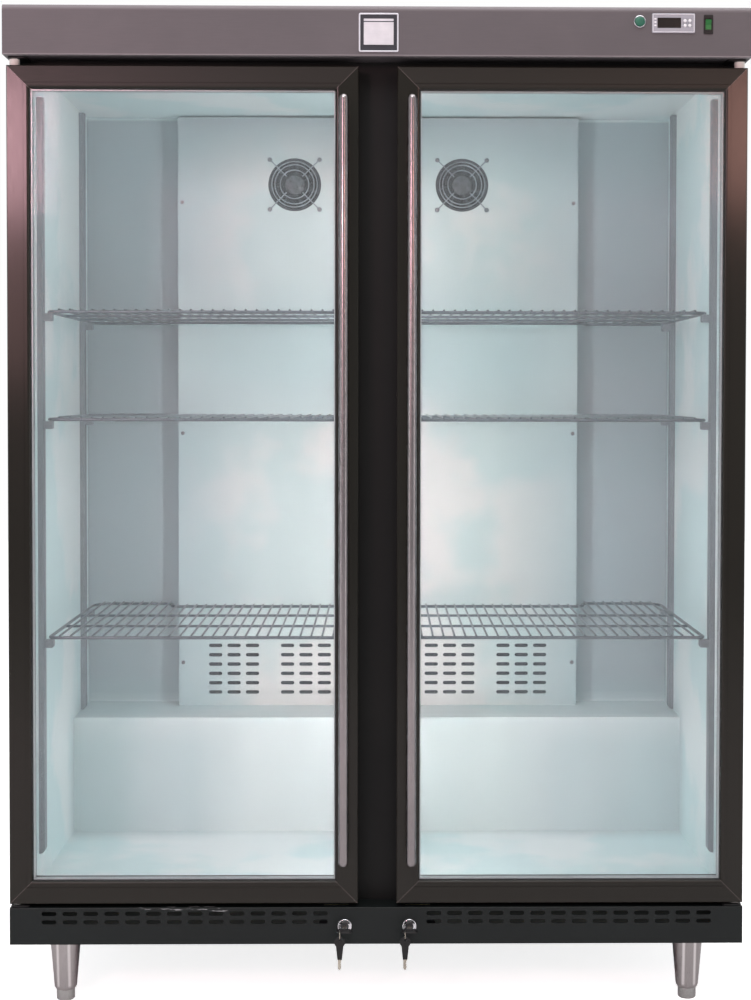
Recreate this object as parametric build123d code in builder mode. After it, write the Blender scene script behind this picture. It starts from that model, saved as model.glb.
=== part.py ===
from build123d import *
import math
import os

# Upright display cooler with two glass doors, in millimetres.
# Z is up and the front faces -Y. The origin is on the floor under the middle of the cabinet.
# A "depth" in this file is a distance behind the front face of the canopy.

# Overall size
WIDTH = 1300
HEIGHT = 1755
DEPTH = 700
HANDLE_REACH = 38
FRONT_Y = HANDLE_REACH - DEPTH / 2
SHEET = 2
BACK = DEPTH - HANDLE_REACH - SHEET

# Levels, from the floor up and from the top down
FOOT_TOP = 20
BASE_BOTTOM = 112
BASE_TOP = BASE_BOTTOM + 65
DOOR_BOTTOM = BASE_TOP + 7
FLOOR = DOOR_BOTTOM + 16
STEP_TOP = FLOOR + 230
CANOPY_BOTTOM = HEIGHT - 87
DOOR_TOP = CANOPY_BOTTOM - 16
HEADER_BOTTOM = DOOR_TOP - 30
CABINET_TOP = CANOPY_BOTTOM + 32
CEILING = CABINET_TOP - 40

# Cabinet body
SKIN = 1
BODY_HALF = WIDTH / 2 - 4
CAVITY_HALF = BODY_HALF - 35
CABINET_FRONT = 60
FRAME_BACK = CABINET_FRONT + SHEET
HEADER_BACK = FRAME_BACK + 30
STEP_FRONT = 437
CAVITY_BACK = BACK - 46
WALL_BACK = BACK - SKIN
STEP_WALL = 38
FLOOR_WALL_BOTTOM = FLOOR - 34
MULLION_HALF = 55
MULLION_BACK = CABINET_FRONT + 30

# Doors
DOOR_FRONT = 12
GASKET_THICK = 10
DOOR_BACK = CABINET_FRONT - GASKET_THICK
DOOR_INNER = 34
DOOR_OUTER = BODY_HALF
BAR = 40
REBATE = 28
PANE = 4
BEAD = 5
PANE_FRONT = DOOR_FRONT + BEAD
PANE_BACK = 37
PANE_GAP = 1
EDGE_BEVEL = 1.5
GROOVE = (29, 30.5)
GROOVE_DEEP = 0.8
CAM_ROOM = 9
SPACER_WIDTH = 8
GASKET_WIDTH = 15
GASKET_OUTER = DOOR_OUTER - 18
HINGE_X = DOOR_OUTER - 11
HINGE_DEPTH = (DOOR_FRONT + DOOR_BACK) / 2
HANDLE_X = 59
HANDLE_RADIUS = 8.5
HANDLE_BOTTOM = 260
HANDLE_TOP = 1597
POST_INSET = 62
POST_RADIUS = 5
POST_COLLAR = 3
POST_COLLAR_THICK = 2

# Hinge hardware
PIN_RADIUS = 4
PIN_LENGTH = 22
BUSH_RADIUS = 6
BUSH_FLANGE = 9
RUNNING_GAP = 0.1
BRACKET_THICK = 3

# Base
BASE_HALF = BODY_HALF
BASE_FRONT = DOOR_FRONT
LEG_X = 557
LEG_DEPTHS = (60, 600)
LEG_TOP_RADIUS = 27
LEG_END_RADIUS = 19.8
FOOT_RADIUS = 16
STEM_RADIUS = 6
STEM_TOP = 60
VENT_ROWS = (166.4, 151.7)
VENT_FIRST_X = 100
VENT_PITCH = 36.7
VENT_COUNT = 14
VENT_LENGTH = 26
VENT_HEIGHT = 7.5

# Locks
LOCK_X = 57
LOCK_Z = 144
CAM_LENGTH = 46
CAM_WIDTH = 12
CAM_DEPTH = (28.5, 31.5)
CAM_SLOT_X = (50, 94)
CAM_SLOT_DEPTH = (25, 35)
KEY_THICK = 3
RING_RADIUS = 7
RING_WIRE = 0.75
RING_DEPTH = -24.75
RING_Z = 139.75
SPARE_OFFSET = 8
SPARE_HEAD_Z = 127.15

# Shelves and their supports
SHELF_LEVELS = {"top": 1229, "middle": 1035, "bottom": 640}
SHELF_INNER = 21
SHELF_OUTER = 594
SHELF_FRONT = 107
SHELF_REAR = 595
SHELF_NOTCH_REAR = 549
SHELF_NOTCH_X = 430
RIM_RADIUS = 3
WIRE_HALF = 2
WIRE_COUNT = 28
WIRE_LIFT = 4
CROSS_BAR_HALF = 2.5
PILASTER_THICK = 10
PILASTER_WIDTH = 22
SIDE_PILASTER_DEPTHS = (95, 512)
INNER_PILASTER_THICK = 8
INNER_PILASTER_X = 35
CLIP_REACH = 16
REAR_CLIP_REACH = 20
CLIP_HEIGHT = 14
CLIP_HALF = 7
CLIP_INSET = 3

# Evaporator side
COVER_HALF = 416
COVER_FRONT = 570
COVER_SHEET = 1.2
COVER_TOP = CEILING - 4
FAN_X = 174
FAN_Z = 1517
FAN_OPENING_RADIUS = 55
FAN_HOLE_HALF_PITCH = 51.5
FAN_FRAME = 120
FAN_FRAME_DEPTH = (572, 597)
SLOT_GROUP_X = (-301, -150.5, 0, 150.5, 301)
SLOT_PITCH_X = 38.5
SLOT_PITCH_Z = 19.6
SLOT_ROWS_MIDDLE = 506.5
SLOT_LENGTH = 28
SLOT_HEIGHT = 7.5

# Controls on the canopy
CANOPY_SHEET = 1.5
CANOPY_BEND = 8
LAMP = (454.3, 1728.6)
CONTROLLER = (512.7, 1725.8)
CONTROLLER_SIZE = (75, 34)
WINDOW_X = (484.6, 525.8)
WINDOW_Z = (1717.5, 1735.4)
KEY_X = (532.6, 541)
KEY_Z = (1730.3, 1722)
KEY_HALF = 2.9
SWITCH = (573.5, 1724.3)
SWITCH_SIZE = (16, 33)
ROCKER_SIZE = (10, 18)
ROCKER_TILT = 8

# Machine compartment behind the step
REAR_COVER = 640
COMPRESSOR = (230, 560)
COMPRESSOR_RADIUS = 72
CONDENSER_X = (-430, -380)
CONDENSER_DEPTH = (487, 632)
CONDENSER_Z = (122, 352)
CONDENSER_FAN_RADIUS = 62
SHROUD_X = -376
PIPE_RADIUS = 4
SUCTION_X = -360
PIPE_HOLE_X = (sum(CONDENSER_X) / 2, SUCTION_X)
PIPE_DEPTH = 593


def y(depth):
    """Y of a point this far behind the front face of the canopy."""
    return FRONT_Y + depth


def block(x, depth, z, mode=Mode.ADD):
    """Adds a box between two X, two depth and two Z limits to the part being built."""
    with Locations(((x[0] + x[1]) / 2, y((depth[0] + depth[1]) / 2), (z[0] + z[1]) / 2)):
        Box(abs(x[1] - x[0]), depth[1] - depth[0], z[1] - z[0], mode=mode)


def rod(x, depth, z, radius, mode=Mode.ADD):
    """Adds a cylinder that runs front to back between two depths."""
    with Locations(Location((x, y((depth[0] + depth[1]) / 2), z), (90, 0, 0))):
        Cylinder(radius, depth[1] - depth[0], mode=mode)


def cross_rod(x, depth, z, radius, mode=Mode.ADD):
    """Adds a cylinder that runs from left to right between two X values."""
    with Locations(Location(((x[0] + x[1]) / 2, y(depth), z), (0, 90, 0))):
        Cylinder(radius, x[1] - x[0], mode=mode)


def post(x, depth, z, radius, mode=Mode.ADD):
    """Adds an upright cylinder between two heights."""
    with Locations((x, y(depth), (z[0] + z[1]) / 2)):
        Cylinder(radius, z[1] - z[0], mode=mode)


def write(part, name):
    """Labels a finished piece and writes it as its own STEP file."""
    part.label = name
    export_step(part, f"parts/{name}.step")


def write_group(solids, name):
    """Writes separate solids of one kind as one node."""
    write(Compound(children=list(solids)), name)


def mirrored(part):
    """The same piece on the other side of the cabinet."""
    return part.mirror(Plane.YZ)


os.makedirs("parts", exist_ok=True)


# Outer shell: sides and top folded from one sheet

with BuildPart() as outer_shell:
    block((-BODY_HALF, BODY_HALF), (FRAME_BACK, BACK), (BASE_TOP, CABINET_TOP))
    block(
        (SKIN - BODY_HALF, BODY_HALF - SKIN),
        (FRAME_BACK, BACK),
        (BASE_TOP, CABINET_TOP - SKIN),
        mode=Mode.SUBTRACT,
    )
write(outer_shell.part, "outer_shell")


# Inner lining: floor, step over the machine compartment, back, ceiling and header in one skin

def cavity_outline(grow):
    """Depth and height of the storage space's side view, grown outwards by the skin."""
    return [
        (FRAME_BACK, FLOOR - grow),
        (STEP_FRONT + grow, FLOOR - grow),
        (STEP_FRONT + grow, STEP_TOP - grow),
        (CAVITY_BACK + grow, STEP_TOP - grow),
        (CAVITY_BACK + grow, CEILING + grow),
        (HEADER_BACK - grow, CEILING + grow),
        (HEADER_BACK - grow, HEADER_BOTTOM + grow),
        (FRAME_BACK, HEADER_BOTTOM + grow),
    ]


def extrude_outline(outline, half, mode=Mode.ADD):
    """Extrudes a side view equally to the left and to the right."""
    with BuildSketch(Plane.YZ) as side_view:
        with BuildLine():
            Polyline([(y(depth), z) for depth, z in outline], close=True)
        make_face()
    extrude(side_view.sketch, amount=half, both=True, mode=mode)


with BuildPart() as inner_liner:
    extrude_outline(cavity_outline(SKIN), CAVITY_HALF + SKIN)
    extrude_outline(cavity_outline(0), CAVITY_HALF, mode=Mode.SUBTRACT)
    for hole_x in PIPE_HOLE_X:
        post(hole_x, PIPE_DEPTH, (STEP_TOP - 2 * SKIN, STEP_TOP + SKIN), PIPE_RADIUS + 1, Mode.SUBTRACT)
write(inner_liner.part, "inner_liner")


# Foam insulation: one slab for each wall, set tight between the skins

WALL_INNER = CAVITY_HALF + SKIN
WALL_OUTER = BODY_HALF - SKIN
FOAM_TOP = CABINET_TOP - SKIN
LINER_BACK = CAVITY_BACK + SKIN
LINER_TOP = CEILING + SKIN
STEP_FOAM_FRONT = STEP_FRONT + SKIN
STEP_FOAM_BACK = STEP_FOAM_FRONT + STEP_WALL
STEP_FOAM_TOP = STEP_TOP - SKIN
STEP_FOAM_BOTTOM = STEP_FOAM_TOP - STEP_WALL
FULL = (-WALL_INNER, WALL_INNER)

foam_slabs = [
    ((-WALL_OUTER, -WALL_INNER), (FRAME_BACK, WALL_BACK), (BASE_TOP, FOAM_TOP)),
    ((WALL_INNER, WALL_OUTER), (FRAME_BACK, WALL_BACK), (BASE_TOP, FOAM_TOP)),
    (FULL, (FRAME_BACK, WALL_BACK), (LINER_TOP, FOAM_TOP)),
    (FULL, (FRAME_BACK, HEADER_BACK - SKIN), (HEADER_BOTTOM + SKIN, LINER_TOP)),
    (FULL, (LINER_BACK, WALL_BACK), (STEP_FOAM_TOP, LINER_TOP)),
    (FULL, (FRAME_BACK, STEP_FOAM_BACK), (FLOOR_WALL_BOTTOM, FLOOR - SKIN)),
    (FULL, (STEP_FOAM_FRONT, STEP_FOAM_BACK), (FLOOR - SKIN, STEP_FOAM_BOTTOM)),
    (FULL, (STEP_FOAM_FRONT, WALL_BACK), (STEP_FOAM_BOTTOM, STEP_FOAM_TOP)),
]
foam = []
for slab_x, slab_depth, slab_z in foam_slabs:
    with BuildPart() as slab:
        block(slab_x, slab_depth, slab_z)
        for hole_x in PIPE_HOLE_X:
            post(hole_x, PIPE_DEPTH, (STEP_FOAM_BOTTOM, STEP_FOAM_TOP), PIPE_RADIUS + 1, Mode.SUBTRACT)
    foam.append(slab.part)
write_group(foam, "insulation_foam")


# Front frame: two stiles, a header and a sill that the door gaskets close on

frame_bars = [
    ((-BODY_HALF, -CAVITY_HALF), (BASE_TOP, CABINET_TOP)),
    ((CAVITY_HALF, BODY_HALF), (BASE_TOP, CABINET_TOP)),
    ((-CAVITY_HALF, CAVITY_HALF), (HEADER_BOTTOM, CABINET_TOP)),
    ((-CAVITY_HALF, CAVITY_HALF), (BASE_TOP, FLOOR)),
]
front_frame = []
for bar_x, bar_z in frame_bars:
    with BuildPart() as frame_bar:
        block(bar_x, (CABINET_FRONT, FRAME_BACK), bar_z)
    front_frame.append(frame_bar.part)
write_group(front_frame, "front_frame")


# Centre mullion, with rounded front edges

with BuildPart() as center_mullion:
    block((-MULLION_HALF, MULLION_HALF), (CABINET_FRONT, MULLION_BACK), (FLOOR, HEADER_BOTTOM))
    fillet(center_mullion.edges().filter_by(Axis.Z).group_by(Axis.Y)[0], 3)
write(center_mullion.part, "center_mullion")


# Lamp tube with metal end caps, behind the mullion

TUBE_RADIUS = 8
TUBE_DEPTH = MULLION_BACK + 11
TUBE_Z = (290, 1580)
CAP_LENGTH = 25
HOLDER_HALF = 9

with BuildPart() as light_tube:
    post(0, TUBE_DEPTH, TUBE_Z, TUBE_RADIUS)
    for cap_bottom in (TUBE_Z[0] - CAP_LENGTH, TUBE_Z[1]):
        block(
            (-HOLDER_HALF, HOLDER_HALF),
            (MULLION_BACK, TUBE_DEPTH + HOLDER_HALF),
            (cap_bottom, cap_bottom + CAP_LENGTH),
        )
write(light_tube.part, "light_tube")


# Back: a sheet over the foam, and a louvred cover over the machine compartment

LOUVRE_COUNT = 9
LOUVRE_PITCH = 22
LOUVRE_BOTTOM = 150
LOUVRE_HALF_LENGTH = 90
LOUVRE_CENTRES = (-400, -100, 200)
LOUVRE_HEIGHT = 6
COVER_HALF_WIDTH = WALL_INNER - 4
COVER_Z = (BASE_BOTTOM + SHEET + 2, STEP_FOAM_BOTTOM - 2)
COVER_FACES = (REAR_COVER, REAR_COVER + SHEET)
GLAND_X = 480
GLAND_Z = 200
GLAND_RADIUS = 10
GLAND_BORE = 5
GLAND_RING = 5
GLAND_INSIDE = 14
REAR_SCREW_X = (-590, -200, 200, 590)
REAR_SCREW_Z = (COVER_Z[0] + 12, COVER_Z[1] - 12)
SCREW_RADIUS = 2
SCREW_HOLE_RADIUS = 2.2
JAMB_LIP = 14
JAMB_GAP = 0.2
JAMB_FRONT = REAR_COVER - SKIN - JAMB_GAP
JAMB_BOTTOM = BASE_BOTTOM + SHEET + JAMB_GAP
CORNER_END = BASE_HALF - SHEET - JAMB_GAP

with BuildPart() as upper_back:
    block((-WALL_OUTER, WALL_OUTER), (WALL_BACK, BACK), (BASE_TOP, FOAM_TOP))
    block(FULL, (WALL_BACK, BACK), (BASE_TOP, STEP_FOAM_BOTTOM), mode=Mode.SUBTRACT)

with BuildPart() as rear_cover:
    block((-COVER_HALF_WIDTH, COVER_HALF_WIDTH), COVER_FACES, COVER_Z)
    for louvre_x in LOUVRE_CENTRES:
        for row in range(LOUVRE_COUNT):
            bottom = LOUVRE_BOTTOM + row * LOUVRE_PITCH
            block(
                (louvre_x - LOUVRE_HALF_LENGTH, louvre_x + LOUVRE_HALF_LENGTH),
                COVER_FACES,
                (bottom, bottom + LOUVRE_HEIGHT),
                mode=Mode.SUBTRACT,
            )
    rod(GLAND_X, COVER_FACES, GLAND_Z, GLAND_RADIUS + 0.2, Mode.SUBTRACT)
    for screw_x in REAR_SCREW_X:
        for screw_z in REAR_SCREW_Z:
            rod(screw_x, COVER_FACES, screw_z, SCREW_HOLE_RADIUS, Mode.SUBTRACT)

# A folded jamb on each side: a lip behind the cover, a return along the foam, a plate over the corner
with BuildPart() as rear_jamb:
    jamb_z = (JAMB_BOTTOM, STEP_FOAM_BOTTOM)
    block((WALL_INNER - JAMB_LIP, WALL_INNER), (JAMB_FRONT, JAMB_FRONT + SKIN), jamb_z)
    block((WALL_INNER - SKIN, WALL_INNER), (JAMB_FRONT, WALL_BACK), jamb_z)
    block((WALL_INNER - SKIN, CORNER_END), (WALL_BACK - SKIN, WALL_BACK), (JAMB_BOTTOM, BASE_TOP - JAMB_GAP))
jambs = [rear_jamb.part, mirrored(rear_jamb.part)]
write_group([upper_back.part, rear_cover.part, *jambs], "back_panels")


# Cord gland: a flanged sleeve in the rear cover, with its lock nut inside

with BuildPart() as cord_gland:
    gland_span = (REAR_COVER - GLAND_INSIDE, BACK - 2)
    rod(GLAND_X, (COVER_FACES[1], COVER_FACES[1] + GLAND_RING), GLAND_Z, GLAND_RADIUS + GLAND_RING)
    rod(GLAND_X, gland_span, GLAND_Z, GLAND_RADIUS)
    rod(GLAND_X, (REAR_COVER - GLAND_INSIDE / 2, REAR_COVER), GLAND_Z, GLAND_RADIUS + GLAND_RING)
    rod(GLAND_X, gland_span, GLAND_Z, GLAND_BORE, Mode.SUBTRACT)
write(cord_gland.part, "cord_gland")


# Canopy: folded hood with a rounded top edge, cut out for the controls

CANOPY_HALF = WIDTH / 2
LAMP_BODY_RADIUS = 8
BODY_INSET = 2
CUT_GAP = 0.3

with BuildPart() as canopy:
    block((-CANOPY_HALF, CANOPY_HALF), (0, BACK + SHEET), (CANOPY_BOTTOM, HEIGHT))
    top_front = canopy.edges().filter_by(Axis.X).group_by(Axis.Z)[-1].group_by(Axis.Y)[0]
    fillet(top_front, CANOPY_BEND)
    with BuildSketch(Plane.YZ):
        with BuildLine():
            inside_front = y(CANOPY_SHEET)
            inside_top = HEIGHT - CANOPY_SHEET
            inside_bend = CANOPY_BEND - CANOPY_SHEET
            lip_top = CANOPY_BOTTOM + CANOPY_SHEET
            Line((inside_front, lip_top), (inside_front, inside_top - inside_bend))
            CenterArc((inside_front + inside_bend, inside_top - inside_bend), inside_bend, 180, -90)
            Line((inside_front + inside_bend, inside_top), (y(BACK), inside_top))
            Line((y(BACK), inside_top), (y(BACK), CANOPY_BOTTOM))
            Line((y(BACK), CANOPY_BOTTOM), (y(CABINET_FRONT), CANOPY_BOTTOM))
            Line((y(CABINET_FRONT), CANOPY_BOTTOM), (y(CABINET_FRONT), lip_top))
            Line((y(CABINET_FRONT), lip_top), (inside_front, lip_top))
        make_face()
    extrude(amount=CANOPY_HALF - CANOPY_SHEET, both=True, mode=Mode.SUBTRACT)
    rod(LAMP[0], (0, CANOPY_SHEET), LAMP[1], LAMP_BODY_RADIUS + CUT_GAP, Mode.SUBTRACT)
    for (cut_x, cut_z), (cut_width, cut_height) in (
        (CONTROLLER, CONTROLLER_SIZE),
        (SWITCH, SWITCH_SIZE),
    ):
        half_width = cut_width / 2 - BODY_INSET + CUT_GAP
        half_height = cut_height / 2 - BODY_INSET + CUT_GAP
        block(
            (cut_x - half_width, cut_x + half_width),
            (0, CANOPY_SHEET),
            (cut_z - half_height, cut_z + half_height),
            mode=Mode.SUBTRACT,
        )
write(canopy.part, "canopy")


# Pilot lamp: a chrome bezel with its body, and a green lens

LAMP_BEZEL_RADIUS = 10.8
LAMP_BEZEL_PROUD = 3
LAMP_BODY_LENGTH = 28
LENS_RADIUS = 7.4
LENS_DEPTH = (-4.5, 1)

with BuildPart() as lamp_bezel:
    with BuildSketch(Plane((LAMP[0], y(0), LAMP[1]), x_dir=(1, 0, 0), z_dir=(0, -1, 0))):
        Circle(LAMP_BEZEL_RADIUS)
    extrude(amount=LAMP_BEZEL_PROUD)
    chamfer(lamp_bezel.edges().group_by(Axis.Y)[0], 1.2)
    rod(LAMP[0], (0, LAMP_BODY_LENGTH), LAMP[1], LAMP_BODY_RADIUS)
    rod(LAMP[0], (-LAMP_BEZEL_PROUD, LENS_DEPTH[1]), LAMP[1], LENS_RADIUS + 0.1, Mode.SUBTRACT)

with BuildPart() as lamp_lens:
    rod(LAMP[0], LENS_DEPTH, LAMP[1], LENS_RADIUS)
    fillet(lamp_lens.edges().group_by(Axis.Y)[0], 2)
write_group([lamp_bezel.part, lamp_lens.part], "pilot_lamp")


# Temperature controller: a case with a sunk window and four small keys

CONTROLLER_FACE = -2
CONTROLLER_DEEP = 52
WINDOW_SUNK = 0.8
KEY_PROUD = 0.8
KEY_TRAVEL_ROOM = 3.4
KEY_REACH = KEY_TRAVEL_ROOM - 1.2
KEY_GAP = 0.2

with BuildPart() as controller_case:
    half_width, half_height = (size / 2 for size in CONTROLLER_SIZE)
    block(
        (CONTROLLER[0] - half_width, CONTROLLER[0] + half_width),
        (CONTROLLER_FACE, 0),
        (CONTROLLER[1] - half_height, CONTROLLER[1] + half_height),
    )
    fillet(controller_case.edges().filter_by(Axis.Y), 2)
    chamfer(controller_case.faces().sort_by(Axis.Y)[0].edges(), 0.6)
    block(
        (CONTROLLER[0] - half_width + BODY_INSET, CONTROLLER[0] + half_width - BODY_INSET),
        (0, CONTROLLER_DEEP),
        (CONTROLLER[1] - half_height + BODY_INSET, CONTROLLER[1] + half_height - BODY_INSET),
    )
    block(WINDOW_X, (CONTROLLER_FACE, CONTROLLER_FACE + WINDOW_SUNK), WINDOW_Z, mode=Mode.SUBTRACT)
    room = KEY_HALF + KEY_GAP
    for key_x in KEY_X:
        for key_z in KEY_Z:
            block(
                (key_x - room, key_x + room),
                (CONTROLLER_FACE, CONTROLLER_FACE + KEY_TRAVEL_ROOM),
                (key_z - room, key_z + room),
                mode=Mode.SUBTRACT,
            )
write(controller_case.part, "controller_case")

KEY_NAMES = (("set", "down"), ("up", "defrost"))
for column, key_x in enumerate(KEY_X):
    for row, key_z in enumerate(KEY_Z):
        with BuildPart() as controller_key:
            block(
                (key_x - KEY_HALF, key_x + KEY_HALF),
                (CONTROLLER_FACE - KEY_PROUD, CONTROLLER_FACE + KEY_REACH),
                (key_z - KEY_HALF, key_z + KEY_HALF),
            )
            fillet(controller_key.edges().filter_by(Axis.Y), 1.2)
            fillet(controller_key.faces().sort_by(Axis.Y)[0].edges(), 0.4)
        write(controller_key.part, f"controller_key_{KEY_NAMES[column][row]}")


# Power switch: a frame with a pocket, and the rocker tilted to its ON side in it

SWITCH_FACE = -2
SWITCH_DEEP = 24
POCKET_DEEP = 12
POCKET_GAP = 0.6
ROCKER_PIVOT = 2
ROCKER_PIN_RADIUS = 1.2
ROCKER_HORN = -4.6
ROCKER_DIP = -3.2
ROCKER_SHOULDER = -1.5
ROCKER_HEEL = 5
ROCKER_HEEL_HALF = 3

with BuildPart() as switch_frame:
    half_width, half_height = (size / 2 for size in SWITCH_SIZE)
    block(
        (SWITCH[0] - half_width, SWITCH[0] + half_width),
        (SWITCH_FACE, 0),
        (SWITCH[1] - half_height, SWITCH[1] + half_height),
    )
    fillet(switch_frame.edges().filter_by(Axis.Y), 1.5)
    chamfer(switch_frame.faces().sort_by(Axis.Y)[0].edges(), 0.6)
    block(
        (SWITCH[0] - half_width + BODY_INSET, SWITCH[0] + half_width - BODY_INSET),
        (0, SWITCH_DEEP),
        (SWITCH[1] - half_height + BODY_INSET, SWITCH[1] + half_height - BODY_INSET),
    )
    pocket_half_x = ROCKER_SIZE[0] / 2 + POCKET_GAP / 2
    pocket_half_z = ROCKER_SIZE[1] / 2 + POCKET_GAP
    block(
        (SWITCH[0] - pocket_half_x, SWITCH[0] + pocket_half_x),
        (SWITCH_FACE, POCKET_DEEP),
        (SWITCH[1] - pocket_half_z, SWITCH[1] + pocket_half_z),
        mode=Mode.SUBTRACT,
    )
    with Locations(Location((SWITCH[0], y(ROCKER_PIVOT), SWITCH[1]), (0, 90, 0))):
        Cylinder(ROCKER_PIN_RADIUS, 2 * pocket_half_x)
write(switch_frame.part, "switch_frame")

with BuildPart() as switch_rocker:
    rocker_half = ROCKER_SIZE[1] / 2
    with BuildSketch(Plane((SWITCH[0], y(ROCKER_PIVOT), SWITCH[1]), x_dir=(0, 1, 0), z_dir=(1, 0, 0))):
        with BuildLine():
            Polyline(
                (ROCKER_HORN, rocker_half - 0.4),
                (ROCKER_DIP, 0),
                (ROCKER_HORN, 0.4 - rocker_half),
                (ROCKER_SHOULDER, -rocker_half),
                (ROCKER_HEEL, -ROCKER_HEEL_HALF),
                (ROCKER_HEEL, ROCKER_HEEL_HALF),
                (ROCKER_SHOULDER, rocker_half),
                close=True,
            )
        make_face()
        Circle(ROCKER_PIN_RADIUS + RUNNING_GAP, mode=Mode.SUBTRACT)
    extrude(amount=ROCKER_SIZE[0] / 2, both=True)
    pivot_axis = Axis((SWITCH[0], y(ROCKER_PIVOT), SWITCH[1]), (1, 0, 0))
write(switch_rocker.part.rotate(pivot_axis, ROCKER_TILT), "switch_rocker")


# Evaporator cover: a folded sheet on the back wall with fan openings and air slots

COVER_SCREW_X = 407
COVER_SCREW_Z = (520, 1000, 1480)

with BuildPart() as evaporator_cover:
    block((-COVER_HALF, COVER_HALF), (COVER_FRONT, CAVITY_BACK), (STEP_TOP, COVER_TOP))
    block(
        (COVER_SHEET - COVER_HALF, COVER_HALF - COVER_SHEET),
        (COVER_FRONT + COVER_SHEET, CAVITY_BACK),
        (STEP_TOP, COVER_TOP),
        mode=Mode.SUBTRACT,
    )
    face = (COVER_FRONT, COVER_FRONT + COVER_SHEET)
    for fan_x in (-FAN_X, FAN_X):
        rod(fan_x, face, FAN_Z, FAN_OPENING_RADIUS, Mode.SUBTRACT)
    for side in (-1, 1):
        for screw_z in COVER_SCREW_Z:
            rod(side * COVER_SCREW_X, face, screw_z, SCREW_HOLE_RADIUS, Mode.SUBTRACT)
    slot_plane = Plane((0, y(COVER_FRONT), SLOT_ROWS_MIDDLE), x_dir=(1, 0, 0), z_dir=(0, -1, 0))
    with BuildSketch(slot_plane):
        for group_x in SLOT_GROUP_X:
            with Locations((group_x, 0)):
                with GridLocations(SLOT_PITCH_X, SLOT_PITCH_Z, 3, 6):
                    SlotOverall(SLOT_LENGTH, SLOT_HEIGHT)
    extrude(amount=-COVER_SHEET, mode=Mode.SUBTRACT)
write(evaporator_cover.part, "evaporator_cover")


# Evaporator coil: one tube that runs to and fro through a pack of fins

COIL_Z = (820, 1380)
COIL_DEPTH = (577, 609)
COIL_HALF = 330
COIL_TURN_X = COIL_HALF + 28
COIL_BEND = 24
COIL_TUBE_RADIUS = 4.5
COIL_ROWS = 8
COIL_FINS = 23
COIL_FINS_HALF = COIL_HALF - 30
FIN_THICK = 1
FIN_HOLE_GAP = 0.05


def pipe(route, radius, bend):
    """Round pipe along straight runs with rounded corners."""
    with BuildPart() as line:
        with BuildLine() as path:
            FilletPolyline([(x, y(depth), z) for x, depth, z in route], radius=bend)
        with BuildSketch(Plane(origin=path.line @ 0, z_dir=path.line % 0)):
            Circle(radius)
        sweep(path=path.line)
    return line.part


row_pitch = (COIL_Z[1] - COIL_Z[0]) / COIL_ROWS
tube_levels = [COIL_Z[0] + (row + 0.5) * row_pitch for row in range(COIL_ROWS)]
coil_route = [(-COIL_HALF, PIPE_DEPTH, tube_levels[0])]
turn_x = COIL_TURN_X
for lower, upper in zip(tube_levels, tube_levels[1:]):
    coil_route += [(turn_x, PIPE_DEPTH, lower), (turn_x, PIPE_DEPTH, upper)]
    turn_x = -turn_x
coil_route.append((-COIL_HALF, PIPE_DEPTH, tube_levels[-1]))

with BuildPart() as coil_fin:
    block((-FIN_THICK / 2, FIN_THICK / 2), COIL_DEPTH, COIL_Z)
    for level in tube_levels:
        cross_rod((-FIN_THICK, FIN_THICK), PIPE_DEPTH, level, COIL_TUBE_RADIUS + FIN_HOLE_GAP, Mode.SUBTRACT)

fin_pitch = 2 * COIL_FINS_HALF / (COIL_FINS - 1)
coil = [pipe(coil_route, COIL_TUBE_RADIUS, COIL_BEND)]
for index in range(COIL_FINS):
    coil.append(coil_fin.part.moved(Location((index * fin_pitch - COIL_FINS_HALF, 0, 0))))
write_group(coil, "evaporator_coil")


# Fans: square frames with a motor disc on four struts, the rotors, and wire guards in front

FAN_BORE_RADIUS = 56
ROTOR_HUB_RADIUS = 21
ROTOR_TIP_RADIUS = 53
SHAFT_RADIUS = 3
MOTOR_DISC = (593, 597)
ROTOR_DEPTH = (574, 591)
BLADE_COUNT = 7
BLADE_PITCH = 35
BLADE_THICK = 1.6
BLADE_CHORD = 24
BLADE_ROOT = 3
ROTOR_BORE_DEEP = 12
STRUT_LENGTH = 38
STRUT_WIDTH = 6
STRUT_MIDDLE = 39
GUARD_WIRE = 2.4
GUARD_RINGS = (47, 40.6, 29.5)
GUARD_DEPTH = 562
LOOP_RADIUS = 5


def fan_rotor(centre_x, centre_z):
    """Hub with pitched blades and a bore for the motor shaft, turning about a front to back axis."""
    middle = sum(ROTOR_DEPTH) / 2
    with BuildPart() as rotor:
        rod(centre_x, ROTOR_DEPTH, centre_z, ROTOR_HUB_RADIUS)
        blade_length = ROTOR_TIP_RADIUS - ROTOR_HUB_RADIUS + BLADE_ROOT
        blade_middle = (ROTOR_TIP_RADIUS + ROTOR_HUB_RADIUS - BLADE_ROOT) / 2
        for blade in range(BLADE_COUNT):
            turn = Location((centre_x, y(middle), centre_z), (0, blade * 360 / BLADE_COUNT, 0))
            with Locations(turn * Location((blade_middle, 0, 0), (BLADE_PITCH, 0, 0))):
                Box(blade_length, BLADE_THICK, BLADE_CHORD)
        rod(centre_x, ROTOR_DEPTH, centre_z, ROTOR_TIP_RADIUS, Mode.INTERSECT)
        bore_depth = (ROTOR_DEPTH[1] - ROTOR_BORE_DEEP, ROTOR_DEPTH[1])
        rod(centre_x, bore_depth, centre_z, SHAFT_RADIUS + RUNNING_GAP, Mode.SUBTRACT)
    return rotor.part


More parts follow.
